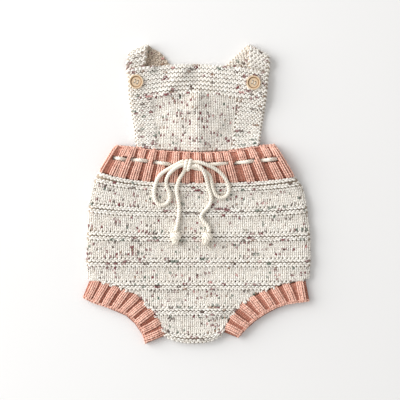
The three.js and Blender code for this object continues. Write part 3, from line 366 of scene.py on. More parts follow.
# Knitting
ROW = 2.75  # height of a row of the ribs and of the bib
VALLEY_ROW = 2.05
VALLEY_PITCH = 3.4  # between the purl columns of a wide valley
ONE_COLUMN = 6  # so far apart that a narrow valley holds one
BAND_VALLEY_WIDTH = 3.6
CUFF_VALLEY_WIDTH = 3.8
CUFF_END_WIDTH = 2.6
RIB_LIFT = 0.95
EDGE_STITCH = 3.0
SEAM_STITCH = 4.3
SEAM_ROW = 2.6
# Garter: how far a ridge's two rows part and arch, how thick they are, how deep their ends dip, how uneven.
BODY_GARTER = {"opening": 0.4, "reach": 2.0, "bulk": 0.5, "sink": 1.5, "jitter": 0.12}
EVEN_GARTER = {"opening": 0.3, "reach": 2.6, "bulk": 0.56, "sink": 1.2, "jitter": 0.05}
# Points along the leg of a stitch and along a purl bump, and how thick the yarn is between their ends.
LEG = np.array([-1, -0.6, 0.0, 0.6, 1])
LEG_THICKNESS = np.array([0.8, 1.0, 0.84])
BUMP = np.array([-1, -0.74, -0.26, 0.26, 0.74, 1])
BUMP_THICKNESS = np.array([0.78, 1.0, 1.0, 0.78])
UNDERSIDE_SINK = 1.3  # the lower stitches are pressed in, level with the surface that the garment lies on
EDGE_DROP = 0.6  # how far yarn drops where it runs off the cloth,
MOST_STEP = 2.2  # and the most that one stitch follows a fold, up or down
STEEPEST = 1.6  # slope of the cloth that a stitch leans with
# Burgundy, brown, green, pink and tan flecks of the tweed yarn.
FLECKS = [(122, 42, 52), (86, 60, 50), (78, 100, 84), (200, 136, 134), (150, 114, 90)]
FLECK_SHARES = [0.46, 0.2, 0.16, 0.06, 0.12]
FLECK_RUN = 0.4
# Seeds of the random numbers.
SEEDS = {
    "front_plain_rows": 12, "front_garter_stripes": 14, "back_plain_rows": 11, "back_garter_stripes": 13,
    "band_front_ribs": 22, "band_back_ribs": 21, "bib_stitches": 61, "bib_stitches_behind": 62,
    "cuff_front_left_ribs": 31, "cuff_back_left_ribs": 32, "cuff_front_right_ribs": 41,
    "cuff_back_right_ribs": 42, "cuff_front_left_seam": 50, "cuff_back_left_seam": 50,
    "cuff_front_right_seam": 51, "cuff_back_right_seam": 51, "strap_left_garter": 51,
    "strap_right_garter": 52, "strap_left_garter_inside": 53, "strap_right_garter_inside": 54,
    "brush_left": 71, "brush_right": 72,
}


# Numbers


def srgb(red, green, blue):
    """A screen colour, 0 to 255, as the linear colour that materials take."""
    parts = [c / 255 for c in (red, green, blue)]
    return tuple(c / 12.92 if c <= 0.04045 else ((c + 0.055) / 1.055) ** 2.4 for c in parts)


def ease(start, end, value):
    t = np.clip((value - start) / (end - start), 0, 1)
    return t * t * (3 - 2 * t)


def read_table(rows, at, column=1):
    """The value of a column at a place between the rows, whose first column is the place."""
    table = np.array(sorted(rows), float)
    return np.interp(at, table[:, 0], table[:, column])


def even_line(line, step):
    """The same line, cut into even steps of about this length."""
    line = np.asarray(line, float)
    along = np.concatenate([[0], np.cumsum(np.linalg.norm(np.diff(line, axis=0), axis=1))])
    count = max(2, int(round(along[-1] / step)) + 1)
    at = np.linspace(0, along[-1], count)
    return np.stack([np.interp(at, along, line[:, k]) for k in range(line.shape[1])], axis=1)


def smooth_line(points, step):
    """A centripetal Catmull-Rom curve through these points, in even steps."""
    p = np.asarray(points, float)
    p = np.vstack([2 * p[0] - p[1], p, 2 * p[-1] - p[-2]])
    share = np.linspace(0, 1, 24, endpoint=False)[:, None]
    pieces = []
    for a, b, c, d in zip(p, p[1:], p[2:], p[3:]):
        before, here, after = (np.sum((w - v) ** 2) ** 0.25 for v, w in ((a, b), (b, c), (c, d)))
        leave = ((b - a) / before - (c - a) / (before + here) + (c - b) / here) * here
        arrive = ((c - b) / here - (d - b) / (here + after) + (d - c) / after) * here
        square = -3 * b + 3 * c - 2 * leave - arrive
        cube = 2 * b - 2 * c + leave + arrive
        pieces.append(b + leave * share + square * share**2 + cube * share**3)
    pieces.append(p[-2][None])
    return even_line(np.vstack(pieces), step)


def line_length(line):
    return float(np.linalg.norm(np.diff(line, axis=0), axis=1).sum())


def unit(vectors):
    return vectors / np.maximum(np.linalg.norm(vectors, axis=-1, keepdims=True), 1e-9)


def grid(levels, shares):
    """Every pair of a level and a share, as two flat arrays."""
    return (v.ravel() for v in np.meshgrid(levels, shares, indexing="ij"))


def spans(start, end, pitch):
    """Middles of the whole stitches that fit between two places."""
    count = max(1, int(round(abs(end - start) / pitch)))
    return start + (np.arange(count) + 0.5) * (end - start) / count


# Places on the garment, as in the part's source


def row_place(row, share):
    """A place on a knitted row of the body: share runs from 0 at its left end to 1 at its right end."""
    row = np.asarray(row, float)
    share = np.asarray(share, float)
    left_y, right_y = (row + read_table(ROW_SAG, row, column) for column in (1, 2))
    side = 2 * share - 1
    sag = np.where(side < 0, left_y - row, right_y - row) * np.abs(side) ** SAG_POWER
    left, right = read_table(BODY_LEFT, left_y), read_table(BODY_RIGHT, right_y)
    return left + (right - left) * share, row + sag


def body_place(share, row):
    """The same, but below the legs' top, shares still run over the whole width, as wales do."""
    x = row_place(np.maximum(row, LEG_TOP), share)[0]
    left, right = row_place(row, 0 * share)[0], row_place(row, 0 * share + 1)[0]
    own = np.clip((x - left) / (right - left), 0, 1)
    return x, np.where(row < LEG_TOP, row_place(row, own)[1], row_place(row, share)[1])


def band_place(share, down):
    """A place on the band: share runs across from its left side, down from its rim to the body."""
    share = np.asarray(share, float)
    rim_x = BAND_TOP_LEFT + (BAND_TOP_RIGHT - BAND_TOP_LEFT) * share
    seam_x, seam_y = row_place(BODY_TOP + 0 * share, share)
    rim_y = read_table(BAND_RIM, rim_x)
    return rim_x + (seam_x - rim_x) * down, rim_y + (seam_y + SEAM - rim_y) * down


def band_share(x):
    """The share whose rib line passes this x half way down the band."""
    low, high = band_place(0, 0.5)[0], band_place(1, 0.5)[0]
    return (x - low) / (high - low)


def bib_place(share, up):
    """A place on the bib: share runs across from its left side, up from the band to its top edge."""
    share, up = np.asarray(share, float), np.asarray(up, float)
    (head_y, head_left, head_right), (foot_y, foot_left, foot_right) = BIB_SIDES[0], BIB_SIDES[-1]
    edge = foot_y + (head_y - foot_y) * up
    left, right = read_table(BIB_SIDES, edge, 1), read_table(BIB_SIDES, edge, 2)
    foot = read_table(BAND_RIM, foot_left + (foot_right - foot_left) * share) + SEAM
    head = read_table(BIB_TOP, head_left + (head_right - head_left) * share)
    bow = BIB_BOW * (np.sin(math.pi * share) - BIB_BOW_ENDS) * np.sin(math.pi * up)
    return left + (right - left) * share, foot + (head - foot) * up + bow


def on_line(line, at):
    """Points of an even line, at shares of its length."""
    at = np.clip(at, 0, 1) * (len(line) - 1)
    return np.stack([np.interp(at, np.arange(len(line)), line[:, k]) for k in range(2)], -1)


class Cuff:
    """Places on one leg's cuff: share runs along it from the side, down from its seam to its open edge."""

    def __init__(self, side):
        self.left = side == "left"
        table = BODY_LEFT if self.left else BODY_RIGHT
        self.seam = even_line([(x, y) for y, x in table if y <= CUFF_SEAM_TOP], 0.5)
        self.edge = smooth_line(CUFF_EDGES[side], 0.5)
        self.ribs = CUFF_RIBS[side]
        self.length = line_length(self.seam)

    def place(self, share, down):
        seam, edge = on_line(self.seam, share), on_line(self.edge, share)
        return tuple(np.moveaxis(seam + (edge - seam) * np.asarray(down)[..., None], -1, 0))

    def stitches(self, share, down):
        """Its rows run from the side to the crotch, which is to the right on the left leg alone."""
        return stitch_places(self.place, share, down, 1 if self.left else -1, -1)


class Strap:
    """Places on one folded strap: s runs along it from its front end, t across from -1 to 1."""

    def __init__(self, side):
        self.side = side
        facts = STRAPS[side]
        turn = math.radians(facts["fold_angle"])
        self.width = facts["width"]
        self.radius = facts["turn"]
        self.fold_at = np.array(facts["fold_at"], float)
        self.along = np.array([math.cos(turn), math.sin(turn)])
        self.up = np.array([-math.sin(turn), math.cos(turn)])
        self.level = np.array([math.cos(2 * turn), math.sin(2 * turn)])
        flat = [np.array(p, float) for p in facts["front"]] + [self.fold_at]
        for p in facts["back"]:
            past = (np.array(p, float) - self.fold_at) @ self.up
            flat.append(np.array(p, float) + (-2 * past + math.pi * self.radius) * self.up)
        self.line = smooth_line(flat, 0.4)
        self.length = line_length(self.line)
        self.fold = line_length(smooth_line(facts["front"] + [facts["fold_at"]], 0.4))
        at = self.tangent(np.array([self.fold]))[0]
        self.skew = -(at[1] * self.up[0] - at[0] * self.up[1]) / (at @ self.up)

    def centre(self, s):
        return on_line(self.line, s / self.length)

    def tangent(self, s):
        return unit(self.centre(s + 0.5) - self.centre(s - 0.5))

    def place(self, s, t, out):
        """Points in space: out is how far each stands off the middle of the cloth, up on the front leg."""
        reach = self.width / 2 * t
        (before, at_fold), (after, past_fold) = STRAP_SKEW
        near = ease(before, at_fold, s - self.fold) * ease(after, past_fold, s - self.fold)
        s = np.clip(s + self.skew * reach * near, 0.6, self.length - 0.6)
        tangent = self.tangent(s)
        end = ease(self.length - STRAP_LEVEL_END, self.length - 2, s)
        lean = np.abs(tangent[..., 1] * self.level[0] - tangent[..., 0] * self.level[1])
        cross = np.stack([tangent[..., 1], -tangent[..., 0]], -1) * (1 - end[..., None])
        cross += (self.level / lean[..., None]) * end[..., None]
        flat = self.centre(s) + cross * reach[..., None]
        past = (flat - self.fold_at) @ self.up
        bend = np.clip(past / self.radius, 0, math.pi)
        slide = (flat - self.fold_at) @ self.along
        over = past > math.pi * self.radius
        reached = np.where(over, math.pi * self.radius - past, self.radius * np.sin(bend))
        reached = np.where(past <= 0, past, reached)
        drop = np.where(past <= 0, 0, self.radius * (1 - np.cos(bend)))
        plan = self.fold_at + slide[..., None] * self.along + reached[..., None] * self.up
        front_z = STRAP_LOW + 2 * self.radius * ease(*STRAP_RISE, flat[..., 1])
        high = front_z + (STRAP_LOW + 2 * self.radius - front_z) * np.clip(bend * 2, 0, 1)
        lifted = bend / math.pi * self.lift(plan[..., 0], plan[..., 1])
        side = (out * np.sin(bend))[..., None] * self.up
        return np.concatenate([plan + side, (high - drop + lifted + out * np.cos(bend))[..., None]], -1)

    def lift(self, x, y):
        """The right strap lies on the left one where they cross."""
        if self.side == "left":
            return 0 * x
        points = np.array(STRAPS["left"]["back"], float)
        least = np.full(np.shape(x), 1e9)
        for a, b in zip(points, points[1:]):
            run = b - a
            t = np.clip(((x - a[0]) * run[0] + (y - a[1]) * run[1]) / (run @ run), 0, 1)
            least = np.minimum(least, np.hypot(x - a[0] - t * run[0], y - a[1] - t * run[1]))
        margin = STRAPS["left"]["width"] / 2 + STRAP_CROSS_MARGIN
        beside = ease(margin, margin + STRAP_CROSS_REACH, least)
        return STRAP_STEP * (1 - beside) * (1 - ease(*STRAP_CROSS_ENDS, y))


class Wall:
    """The outer face of CAD walls, felt from above, or from below."""

    def __init__(self, *nodes, below=False):
        self.below = below
        corners, faces = [], []
        for node in nodes:
            mesh = frame["nodes"][node].data
            shift = len(corners)
            corners += [v.co.copy() for v in mesh.vertices]
            faces += [[shift + k for k in face.vertices] for face in mesh.polygons]
        self.tree = BVHTree.FromPolygons(corners, faces)

    def height(self, x, y):
        start, way = (-0.1, 1) if self.below else (0.1, -1)
        found = np.full(np.shape(x), np.nan)
        flat_x, flat_y, flat = np.ravel(x), np.ravel(y), found.ravel()
        for k in range(flat.size):
            hit = self.tree.ray_cast((flat_x[k] * MM, flat_y[k] * MM, start), (0, 0, way))[0]
            if hit is not None:
                flat[k] = hit.z / MM
        return flat.reshape(np.shape(x))

    def facing(self, x, y, reach=2.0):
        """Unit vectors that point out of the cloth."""
        middle = self.height(x, y)
        slopes = []
        for dx, dy in ((reach, 0), (0, reach)):
            after, before = self.height(x + dx, y + dy), self.height(x - dx, y - dy)
            after_gone, before_gone = np.isnan(after), np.isnan(before)
            after = np.where(after_gone, middle, after)
            before = np.where(before_gone, middle, before)
            steps = np.where(after_gone | before_gone, 1, 2) * reach
            slopes.append(np.clip((after - before) / steps, -STEEPEST, STEEPEST))
        out = -1 if self.below else 1
        return unit(np.stack([-out * slopes[0], -out * slopes[1], np.full(np.shape(x), float(out))], -1))


# Yarn


class Yarn:
    """Closed lengths of yarn that become one mesh, with a tone and a fleck on each length: a random tone, shifted up
    as painted light on raised stitches and down as painted shade on sunk ones.
    """

    def __init__(self, name, flecks=0.0):
        self.name = name
        self.random = np.random.default_rng(SEEDS[name])
        self.flecks = flecks
        self.points, self.faces, self.shades, self.colours = [], [], [], []
        self.count = 0

    def add(self, paths, radii, up, sides=6, tone=0.0):
        """paths is (count, rings, 3) in millimetres with its two poles, radii one number a ring between."""
        if not len(paths):
            return
        count, rings = paths.shape[:2]
        tangent = unit(np.gradient(paths, axis=1))
        across = unit(np.cross(tangent, np.reshape(up, (-1, 1, 3))))
        high = np.cross(across, tangent)
        angle = (np.arange(sides) * 2 * math.pi / sides)[:, None]
        ring = across[:, 1:-1, None] * np.cos(angle) + high[:, 1:-1, None] * np.sin(angle)
        ring = ring * np.broadcast_to(radii, (count, rings - 2))[..., None, None] + paths[:, 1:-1, None]
        each = 2 + (rings - 2) * sides
        points = np.concatenate([paths[:, :1], ring.reshape(count, -1, 3), paths[:, -1:]], axis=1)
        faces = []
        for k in range(sides):
            n = (k + 1) % sides
            faces.append((0, 1 + n, 1 + k))
            for r in range(rings - 3):
                a, b = 1 + r * sides, 1 + (r + 1) * sides
                faces += [(a + k, a + n, b + n), (a + k, b + n, b + k)]
            last = 1 + (rings - 3) * sides
            faces.append((last + k, last + n, each - 1))
        starts = self.count + each * np.arange(count)
        self.faces.append((starts[:, None, None] + np.array(faces)[None]).reshape(-1, 3))
        self.points.append(points.reshape(-1, 3))
        self.count += count * each
        # Each length's tone is random about the tone given: above 0 is painted light on raised stitches, below 0
        # painted shade on sunk ones
        shade = self.random.normal(tone, 1, count).clip(tone - 2, tone + 2)
        self.shades.append(np.repeat(shade, each))
        self.colours.append(np.repeat(self.fleck_colours(count), each, axis=0))

    def fleck_colours(self, count):
        """A colour for each length, with its amount as alpha: a tint on some, a fleck on a few."""
        chosen = self.random.choice(len(FLECKS), count, p=FLECK_SHARES)
        roll = self.random.random(count)
        amount = np.where(roll < self.flecks, self.random.uniform(0.72, 1, count), 0)
        faint = (roll > self.flecks) & (roll < 4 * self.flecks)
        amount = np.where(faint, self.random.uniform(0.05, 0.2, count), amount)
        run_on = np.flatnonzero((roll[:-1] < self.flecks) & (self.random.random(count - 1) < FLECK_RUN))
        chosen[run_on + 1] = chosen[run_on]
        amount[run_on + 1] = self.random.uniform(0.4, 0.85, len(run_on))
        colours = np.array([srgb(*fleck) for fleck in FLECKS])[chosen]
        return np.concatenate([colours, amount[:, None]], axis=1)

    def make(self, finish):
        points = np.concatenate(self.points) * MM
        points[:, 2] = np.maximum(points[:, 2], 0)
        piece = mesh_piece(self.name, points, np.concatenate(self.faces), finish)
        shade = piece.data.attributes.new("yarn_shade", "FLOAT", "POINT")
        shade.data.foreach_set("value", np.concatenate(self.shades).astype(np.float32))
        fleck = piece.data.attributes.new("fleck", "FLOAT_COLOR", "POINT")
        fleck.data.foreach_set("color", np.concatenate(self.colours).astype(np.float32).ravel())
        return piece


def mesh_piece(name, points, faces, finish):
    mesh = bpy.data.meshes.new(name)
    faces = np.asarray(faces)
    corners = faces.shape[1]
    mesh.vertices.add(len(points))
    mesh.vertices.foreach_set("co", np.asarray(points, np.float32).ravel())
    mesh.loops.add(faces.size)
    mesh.loops.foreach_set("vertex_index", faces.astype(np.int32).ravel())
    mesh.polygons.add(len(faces))
    mesh.polygons.foreach_set("loop_start", np.arange(0, faces.size, corners, dtype=np.int32))
    mesh.update(calc_edges=True)
    mesh.shade_smooth()
    mesh.materials.append(finish)
    piece = bpy.data.objects.new(name, mesh)
    bpy.context.scene.collection.objects.link(piece)
    return piece


def lay_yarn(yarn, wall, places, across, along, lift, thickness, sides, tone):
    """Lays a length of yarn at each place that is on the wall.

    across and along are its path in plan, and lift is how far each point stands off the wall.
    """
    x, y, right, upward = places
    x = x[:, None] + right[:, :1] * across + upward[:, :1] * along
    y = y[:, None] + right[:, 1:] * across + upward[:, 1:] * along
    middle = x.shape[1] // 2
    kept = ~np.isnan(wall.height(x[:, middle], y[:, middle]))
    x, y, lift = x[kept], y[kept], np.broadcast_to(lift, x.shape)[kept]
    z = wall.height(x, y)
    centre = z[:, middle : middle + 1]
    z = np.where(np.isnan(z), centre - (0 if wall.below else EDGE_DROP), z)
    z = centre + np.clip(z - centre, -MOST_STEP, MOST_STEP)
    up = wall.facing(x[:, middle], y[:, middle])
    sunk = UNDERSIDE_SINK if wall.below else 0
    paths = np.stack([x, y, z], -1) + up[:, None] * (lift - sunk)[..., None]
    yarn.add(paths, thickness[kept], up, sides, tone)


def uneven(yarn, places, turn):
    """Hand knitting: each stitch is turned a little, and is a little thicker or thinner."""
    x, y, right, upward = places
    angle = yarn.random.normal(0, turn, len(x))[:, None]
    size = yarn.random.normal(1, 0.07, len(x)).clip(0.82, 1.2)[:, None]
    return (x, y, right + upward * angle, upward - right * angle), size


def knit_stitches(
    yarn, wall, places, width, height, bulk=0.52, spread=(0.245, 0.125), sides=6, lift=0.0, turn=0.1, tone=0.0
):
    """V stitches: spread is how far each leg stands off the wale's middle and leans out, in widths."""
    radius = width * bulk / 2
    places, size = uneven(yarn, places, turn)
    high = np.reshape(lift, (-1, 1)) + yarn.random.normal(0, 0.13, len(size))[:, None]
    high = high + radius * (0.4 - 1.15 * LEG**2)
    for leg in (-1, 1):
        across, along = leg * width * (spread[0] + spread[1] * LEG), height * 0.84 * LEG
        lay_yarn(yarn, wall, places, across, along, high, size * radius * LEG_THICKNESS, sides, tone)


def purl_bumps(yarn, wall, places, width, reach, arch, bulk, sink, lift, tone, sides=6):
    """Arched bumps: arch is 1 for a bump that opens downwards and -1 for one that opens upwards."""
    radius = width * bulk / 2
    places, size = uneven(yarn, places, 0.035)
    across, along = width * 0.54 * BUMP, arch * reach * (0.5 - BUMP**2)
    high = lift + radius * (0.6 - sink * BUMP**2)
    lay_yarn(yarn, wall, places, across, along, high, size * radius * BUMP_THICKNESS, sides, tone)


def chain_edge(yarn, wall, places, pitch):
    """A cast-off edge: a chain of stitches that lie along it."""
    x, y, along, outward = places
    # Tone 1.2 paints the edge's chain lighter: painted light on the raised edge
    knit_stitches(yarn, wall, (x, y, outward, along), EDGE_STITCH, pitch * 0.8, lift=0.8, tone=1.2)


def garter_ridge(yarn, wall, places, width, kind, sides, lift):
    """One ridge of garter: a row of bumps over a row of cups, half a stitch apart."""
    x, y, right, upward = places
    for arch, shift in ((1, 0.0), (-1, 0.5)):
        move = right * width * shift + upward * arch * kind["opening"]
        move = move + yarn.random.normal(0, kind["jitter"], (2, len(x))).T
        moved = (x + move[:, 0], y + move[:, 1], right, upward)
        reach, bulk, sink = kind["reach"], kind["bulk"], kind["sink"]
        # Tone 0.9 paints the garter bumps lighter than the plain stitches: painted light on the raised ridges
        purl_bumps(yarn, wall, moved, width, reach, arch, bulk, sink, lift, 0.9, sides)


def rib_column(yarn, wall, places, width):
    """One wale of a rib's knit stitches, which stand out with a groove down their middle."""
    order = np.arange(len(places[0]))
    lift = RIB_LIFT * ease(-0.5, 2, np.minimum(order, order[::-1] + 1))
    # Tone 2 paints the raised rib stitches lighter: painted light
    knit_stitches(yarn, wall, places, width, ROW, 0.48, (0.25, 0.05), lift=lift, turn=0.05, tone=2)


def rib_valley(yarn, wall, places, width):
    """The purl stitches between two ribs: sunk, and darkened with painted shade for the ribs' shadow."""
    purl_bumps(yarn, wall, places, width, 0.8, 1, bulk=0.66, sink=1.1, lift=-1.4, tone=-3.4)


def stitch_places(place, share, level, across=1, up=1, step=1e-3):
    """Middles of stitches in plan, and unit vectors along their row and up their wale."""

    def way(by_share, by_level):
        ahead = np.stack(place(share + by_share, level + by_level), -1)
        return unit(ahead - np.stack(place(share - by_share, level - by_level), -1))

    return *place(share, level), across * way(step, 0), up * way(0, step)


def plied_cord(name, route, diameter, finish, plies=3, lay=8.7, step=0.6, taper=0.0):
    """A tube of twisted plies along a route in millimetres, its ends closed. Gives the piece and its line."""
    line = smooth_line(route, step)
    count, sides = len(line), plies * 8
    tangent = unit(np.gradient(line, axis=0))
    normal = np.zeros_like(line)
    normal[0] = unit(np.cross(tangent[0], [0.0, 0.0, 1.0]))
    for k in range(1, count):
        normal[k] = unit(normal[k - 1] - tangent[k] * (normal[k - 1] @ tangent[k]))
    along = np.concatenate([[0], np.cumsum(np.linalg.norm(np.diff(line, axis=0), axis=1))])
    angle = np.arange(sides) * 2 * math.pi / sides
    twist = 2 * math.pi * along[:, None] / lay
    lobe = np.abs(np.cos(plies * (angle[None] - twist) / 2))
    radius = diameter / 2 * (0.7 + 0.35 * lobe**0.8)
    if taper:
        radius = radius * (1 - taper * ease(along[-1] - 3, along[-1], along))[:, None]
    out = normal[:, None] * (np.cos(angle) * radius)[..., None]
    out += np.cross(tangent, normal)[:, None] * (np.sin(angle) * radius)[..., None]
    ends = line[:1] - tangent[:1] * 0.5, line[-1:] + tangent[-1:] * 0.5
    points = np.concatenate([ends[0], (line[:, None] + out).reshape(-1, 3), ends[1]])
    k = np.arange(sides)
    n = (k + 1) % sides
    base = 1 + sides * np.arange(count - 1)[:, None]
    last = 1 + sides * (count - 1)
    faces = [
        np.stack([base + k, base + n, base + n + sides], -1).reshape(-1, 3),
        np.stack([base + k, base + n + sides, base + k + sides], -1).reshape(-1, 3),
        np.stack([0 * k, 1 + n, 1 + k], -1),
        np.stack([last + k, last + n, 0 * k + len(points) - 1], -1),
    ]
    return mesh_piece(name, points * MM, np.concatenate(faces), finish), line * MM


# Materials


def maths(operation, turned=False):
    """A method of Wire that adds one Math node."""

    def method(self, other):
        first, second = (other, self) if turned else (self, other)
        return self.finish.node("ShaderNodeMath", {"operation": operation}, {0: first, 1: second})

    return method


class Wire:
    """A socket of a finish's nodes, which adds Math nodes when it is used in an expression."""

    def __init__(self, finish, socket):
        self.finish = finish
        self.socket = socket

    __add__ = __radd__ = maths("ADD")
    __sub__ = maths("SUBTRACT")
    __rsub__ = maths("SUBTRACT", turned=True)
    __mul__ = __rmul__ = maths("MULTIPLY")
    at_least = maths("MAXIMUM")
    at_most = maths("MINIMUM")

    def clamped(self):
        return self.at_least(0.0).at_most(1.0)


class Finish:
    """A node material as it is put together."""

    def __init__(self, name, roughness, sheen=0.0):
        self.material = bpy.data.materials.new(name)
        self.material.use_nodes = True
        self.tree = self.material.node_tree
        self.shader = self.tree.nodes["Principled BSDF"]
        self.shader.inputs["Roughness"].default_value = roughness
        self.shader.inputs["Sheen Weight"].default_value = sheen
        self.shader.inputs["Sheen Roughness"].default_value = 0.6

    def node(self, kind, settings=None, inputs=None, output=0):
        made = self.tree.nodes.new(kind)
        for key, value in (settings or {}).items():
            setattr(made, key, value)
        for key, value in (inputs or {}).items():
            if isinstance(value, Wire):
                self.tree.links.new(value.socket, made.inputs[key])
            else:
                made.inputs[key].default_value = value
        return Wire(self, made.outputs[output])

    def place(self):
        return self.node("ShaderNodeTexCoord", output="Object")

    def noise(self, where, scale, detail=2.0, rough=0.5):
        values = {"Vector": where, "Scale": scale, "Detail": detail, "Roughness": rough}
        return self.node("ShaderNodeTexNoise", None, values)

    def attribute(self, name, output):
        return self.node("ShaderNodeAttribute", {"attribute_name": name}, output=output)

    def blend(self, first, second, share):
        first, second = (v if isinstance(v, Wire) else (*v, 1) for v in (first, second))
        return self.node("ShaderNodeMix", {"data_type": "RGBA"}, {0: share, 6: first, 7: second}, output=2)

    def bump(self, height, distance, strength):
        values = {"Height": height, "Distance": distance, "Strength": strength}
        bumped = self.node("ShaderNodeBump", None, values)
        self.tree.links.new(bumped.socket, self.shader.inputs["Normal"])

    def colour(self, value):
        self.tree.links.new(value.socket, self.shader.inputs["Base Color"])


def yarn_finish(name, light, dark, spread, flecked=True):
    """Spun wool: each stitch has its own tone, random plus the painted light of raised stitches and the painted shade
    of sunk ones, fibres run over it, and flecks lie on some.
    """
    finish = Finish(name, 0.93, sheen=0.12)
    where = finish.place()
    fibres = finish.noise(where, 1600.0, 3.0, 0.65)
    cloud = finish.noise(where, 28.0, 2.0)
    shade = finish.attribute("yarn_shade", "Fac")
    level = (0.5 + shade * spread + (fibres - 0.5) * 0.5 + (cloud - 0.5) * 0.5).clamped()
    colour = finish.blend(dark, light, level)
    if flecked:
        patch = ((finish.noise(where, 420.0, 1.0) - 0.38) * 10).clamped()
        amount = finish.attribute("fleck", "Alpha") * patch
        colour = finish.blend(colour, finish.attribute("fleck", "Color"), amount)
    finish.colour(colour)
    finish.bump(fibres, 0.0003, 0.7)
    return finish.material


def backing_finish(name, colour):
    """The cloth between the stitches: the same wool, darkened as painted shade for the shadow between them, with a
    fine relief.
    """
    finish = Finish(name, 0.97)
    where = finish.place()
    fibres = finish.noise(where, 700.0, 3.0, 0.6)
    darker = tuple(c * 0.72 for c in colour)
    finish.colour(finish.blend(darker, colour, fibres))
    finish.bump(fibres, 0.0005, 0.8)
    return finish.material


def cord_finish(name, light, dark):
    finish = Finish(name, 0.9, sheen=0.1)
    where = finish.place()
    fibres = finish.noise(where, 1300.0, 3.0, 0.6)
    cloud = finish.noise(where, 120.0, 1.0)
    finish.colour(finish.blend(dark, light, (fibres * 0.7 + cloud * 0.5).clamped()))
    finish.bump(fibres, 0.00025, 0.6)
    return finish.material


def wood_finish(name, light, dark):
    """Pale turned wood with a fine straight grain."""
    finish = Finish(name, 0.45)
    where = finish.place()
    turned = {"Vector": where, "Rotation": (0, 0, 0.5), "Scale": (1.0, 0.09, 1.0)}
    grain = finish.noise(finish.node("ShaderNodeMapping", None, turned), 1500.0, 3.0, 0.55)
    patch = finish.noise(where, 90.0, 1.0)
    finish.colour(finish.blend(dark, light, (grain * 0.75 + patch * 0.4).clamped()))
    finish.bump(grain, 0.00006, 0.5)
    finish.shader.inputs["Coat Weight"].default_value = 0.12
    finish.shader.inputs["Coat Roughness"].default_value = 0.35
    return finish.material


FINISHES = {}


def finishes():
    """The garment's materials, made once from the colours on the panel."""
    if FINISHES:
        return FINISHES
    colours = bpy.context.scene.romper_colours
    # The key, the function that makes it, its name, the panel's colour, its tones, light first, and the rest.
    for key, make, name, colour, tones, *rest in (
        ("tweed", yarn_finish, "tweed yarn", colours.cream, [(1.05, 1.05, 1.05), (0.85, 0.82, 0.77)], 0.14),
        # The straps' inside faces take darker, warmer tones of the cream: painted shade of the folds, deepest on the
        # left strap
        ("tweed_inside_left", yarn_finish, "shaded inside of the left strap", colours.cream,
         [(0.86, 0.76, 0.66), (0.66, 0.57, 0.48)], 0.1),
        ("tweed_inside_right", yarn_finish, "inside of the right strap", colours.cream,
         [(1, 0.98, 0.95), (0.8, 0.76, 0.7)], 0.14),
        # Backings: the cream and the coral darkened, as painted shade for the gaps between stitches
        ("tweed_back", backing_finish, "tweed between stitches", colours.cream, [(0.54, 0.45, 0.36)]),
        ("bib_back", backing_finish, "tweed between the bib's stitches", colours.cream, [(0.7, 0.62, 0.53)]),
        # The coral's light end is well over its colour and its dark end far under it: painted light on the raised ribs
        # and painted shade in the sunk valleys, besides each stitch's random tone
        ("coral", yarn_finish, "coral yarn", colours.coral,
         [(1.44, 1.24, 1.25), (0.62, 0.46, 0.4)], 0.16, False),
        ("coral_back", backing_finish, "coral between stitches", colours.coral, [(0.44, 0.27, 0.21)]),
        ("string", cord_finish, "drawstring yarn", colours.drawstring, [(1.02, 1, 0.96), (0.84, 0.8, 0.72)]),
        ("wood", wood_finish, "pale button wood", colours.button, [(1.06, 1.06, 1.06), (0.78, 0.7, 0.6)]),
        # The ring by the rim takes darker wood tones: painted shade of the rim on the dish
        ("groove", wood_finish, "stained groove of a button", colours.button,
         [(0.66, 0.54, 0.42), (0.42, 0.31, 0.22)]),
        # Near-black walls of the button holes: painted shade
        ("hole", backing_finish, "inside of a button hole", colours.button, [(0.2, 0.2, 0.2)]),
    ):
        toned = [tuple(min(1, c * factor) for c, factor in zip(colour, tone)) for tone in tones]
        FINISHES[key] = make(name, *toned, *rest)
    return FINISHES


# Pieces


def settle(piece, slot, *nodes):
    """A finished piece rides on the garment, takes its slot's finish and stands for its CAD nodes."""
    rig.ride(piece, "root")
    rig.slot(piece, slot)
    if nodes:
        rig.replaces(piece, *nodes)
    return piece


def backing(name, node, finish, slot, sunk=0.5):
    """A thin shell on the form of a CAD wall: a merged copy whose two faces are drawn together."""
    mesh = frame["nodes"][node].data.copy()
    mesh.name = name
    shape = bmesh.new()
    shape.from_mesh(mesh)
    bmesh.ops.remove_doubles(shape, verts=shape.verts, dist=2e-6)
    shape.normal_update()
    for vertex in shape.verts:
        vertex.co.z = max(0, vertex.co.z - sunk * MM * vertex.normal.z)
    shape.to_mesh(mesh)
    shape.free()
    mesh.materials.clear()
    mesh.materials.append(finish)
    mesh.shade_smooth()
    piece = bpy.data.objects.new(name, mesh)
    bpy.context.scene.collection.objects.link(piece)
    return settle(piece, slot, node)


def joined(name, pieces):
    """One object of several, with their meshes together."""
    bpy.ops.object.select_all(action="DESELECT")
    for piece in pieces:
        piece.select_set(True)
    bpy.context.view_layer.objects.active = pieces[0]
    bpy.ops.object.join()
    whole = bpy.context.object
    whole.name = name
    return whole


def length_property(name, description, default):
    return bpy.props.FloatProperty(
        name=name, description=description, default=default, unit="LENGTH", precision=4
    )


def colour_property(name, description, *default):
    return bpy.props.FloatVectorProperty(
        name=name, description=description, default=srgb(*default), subtype="COLOR", min=0, max=1
    )


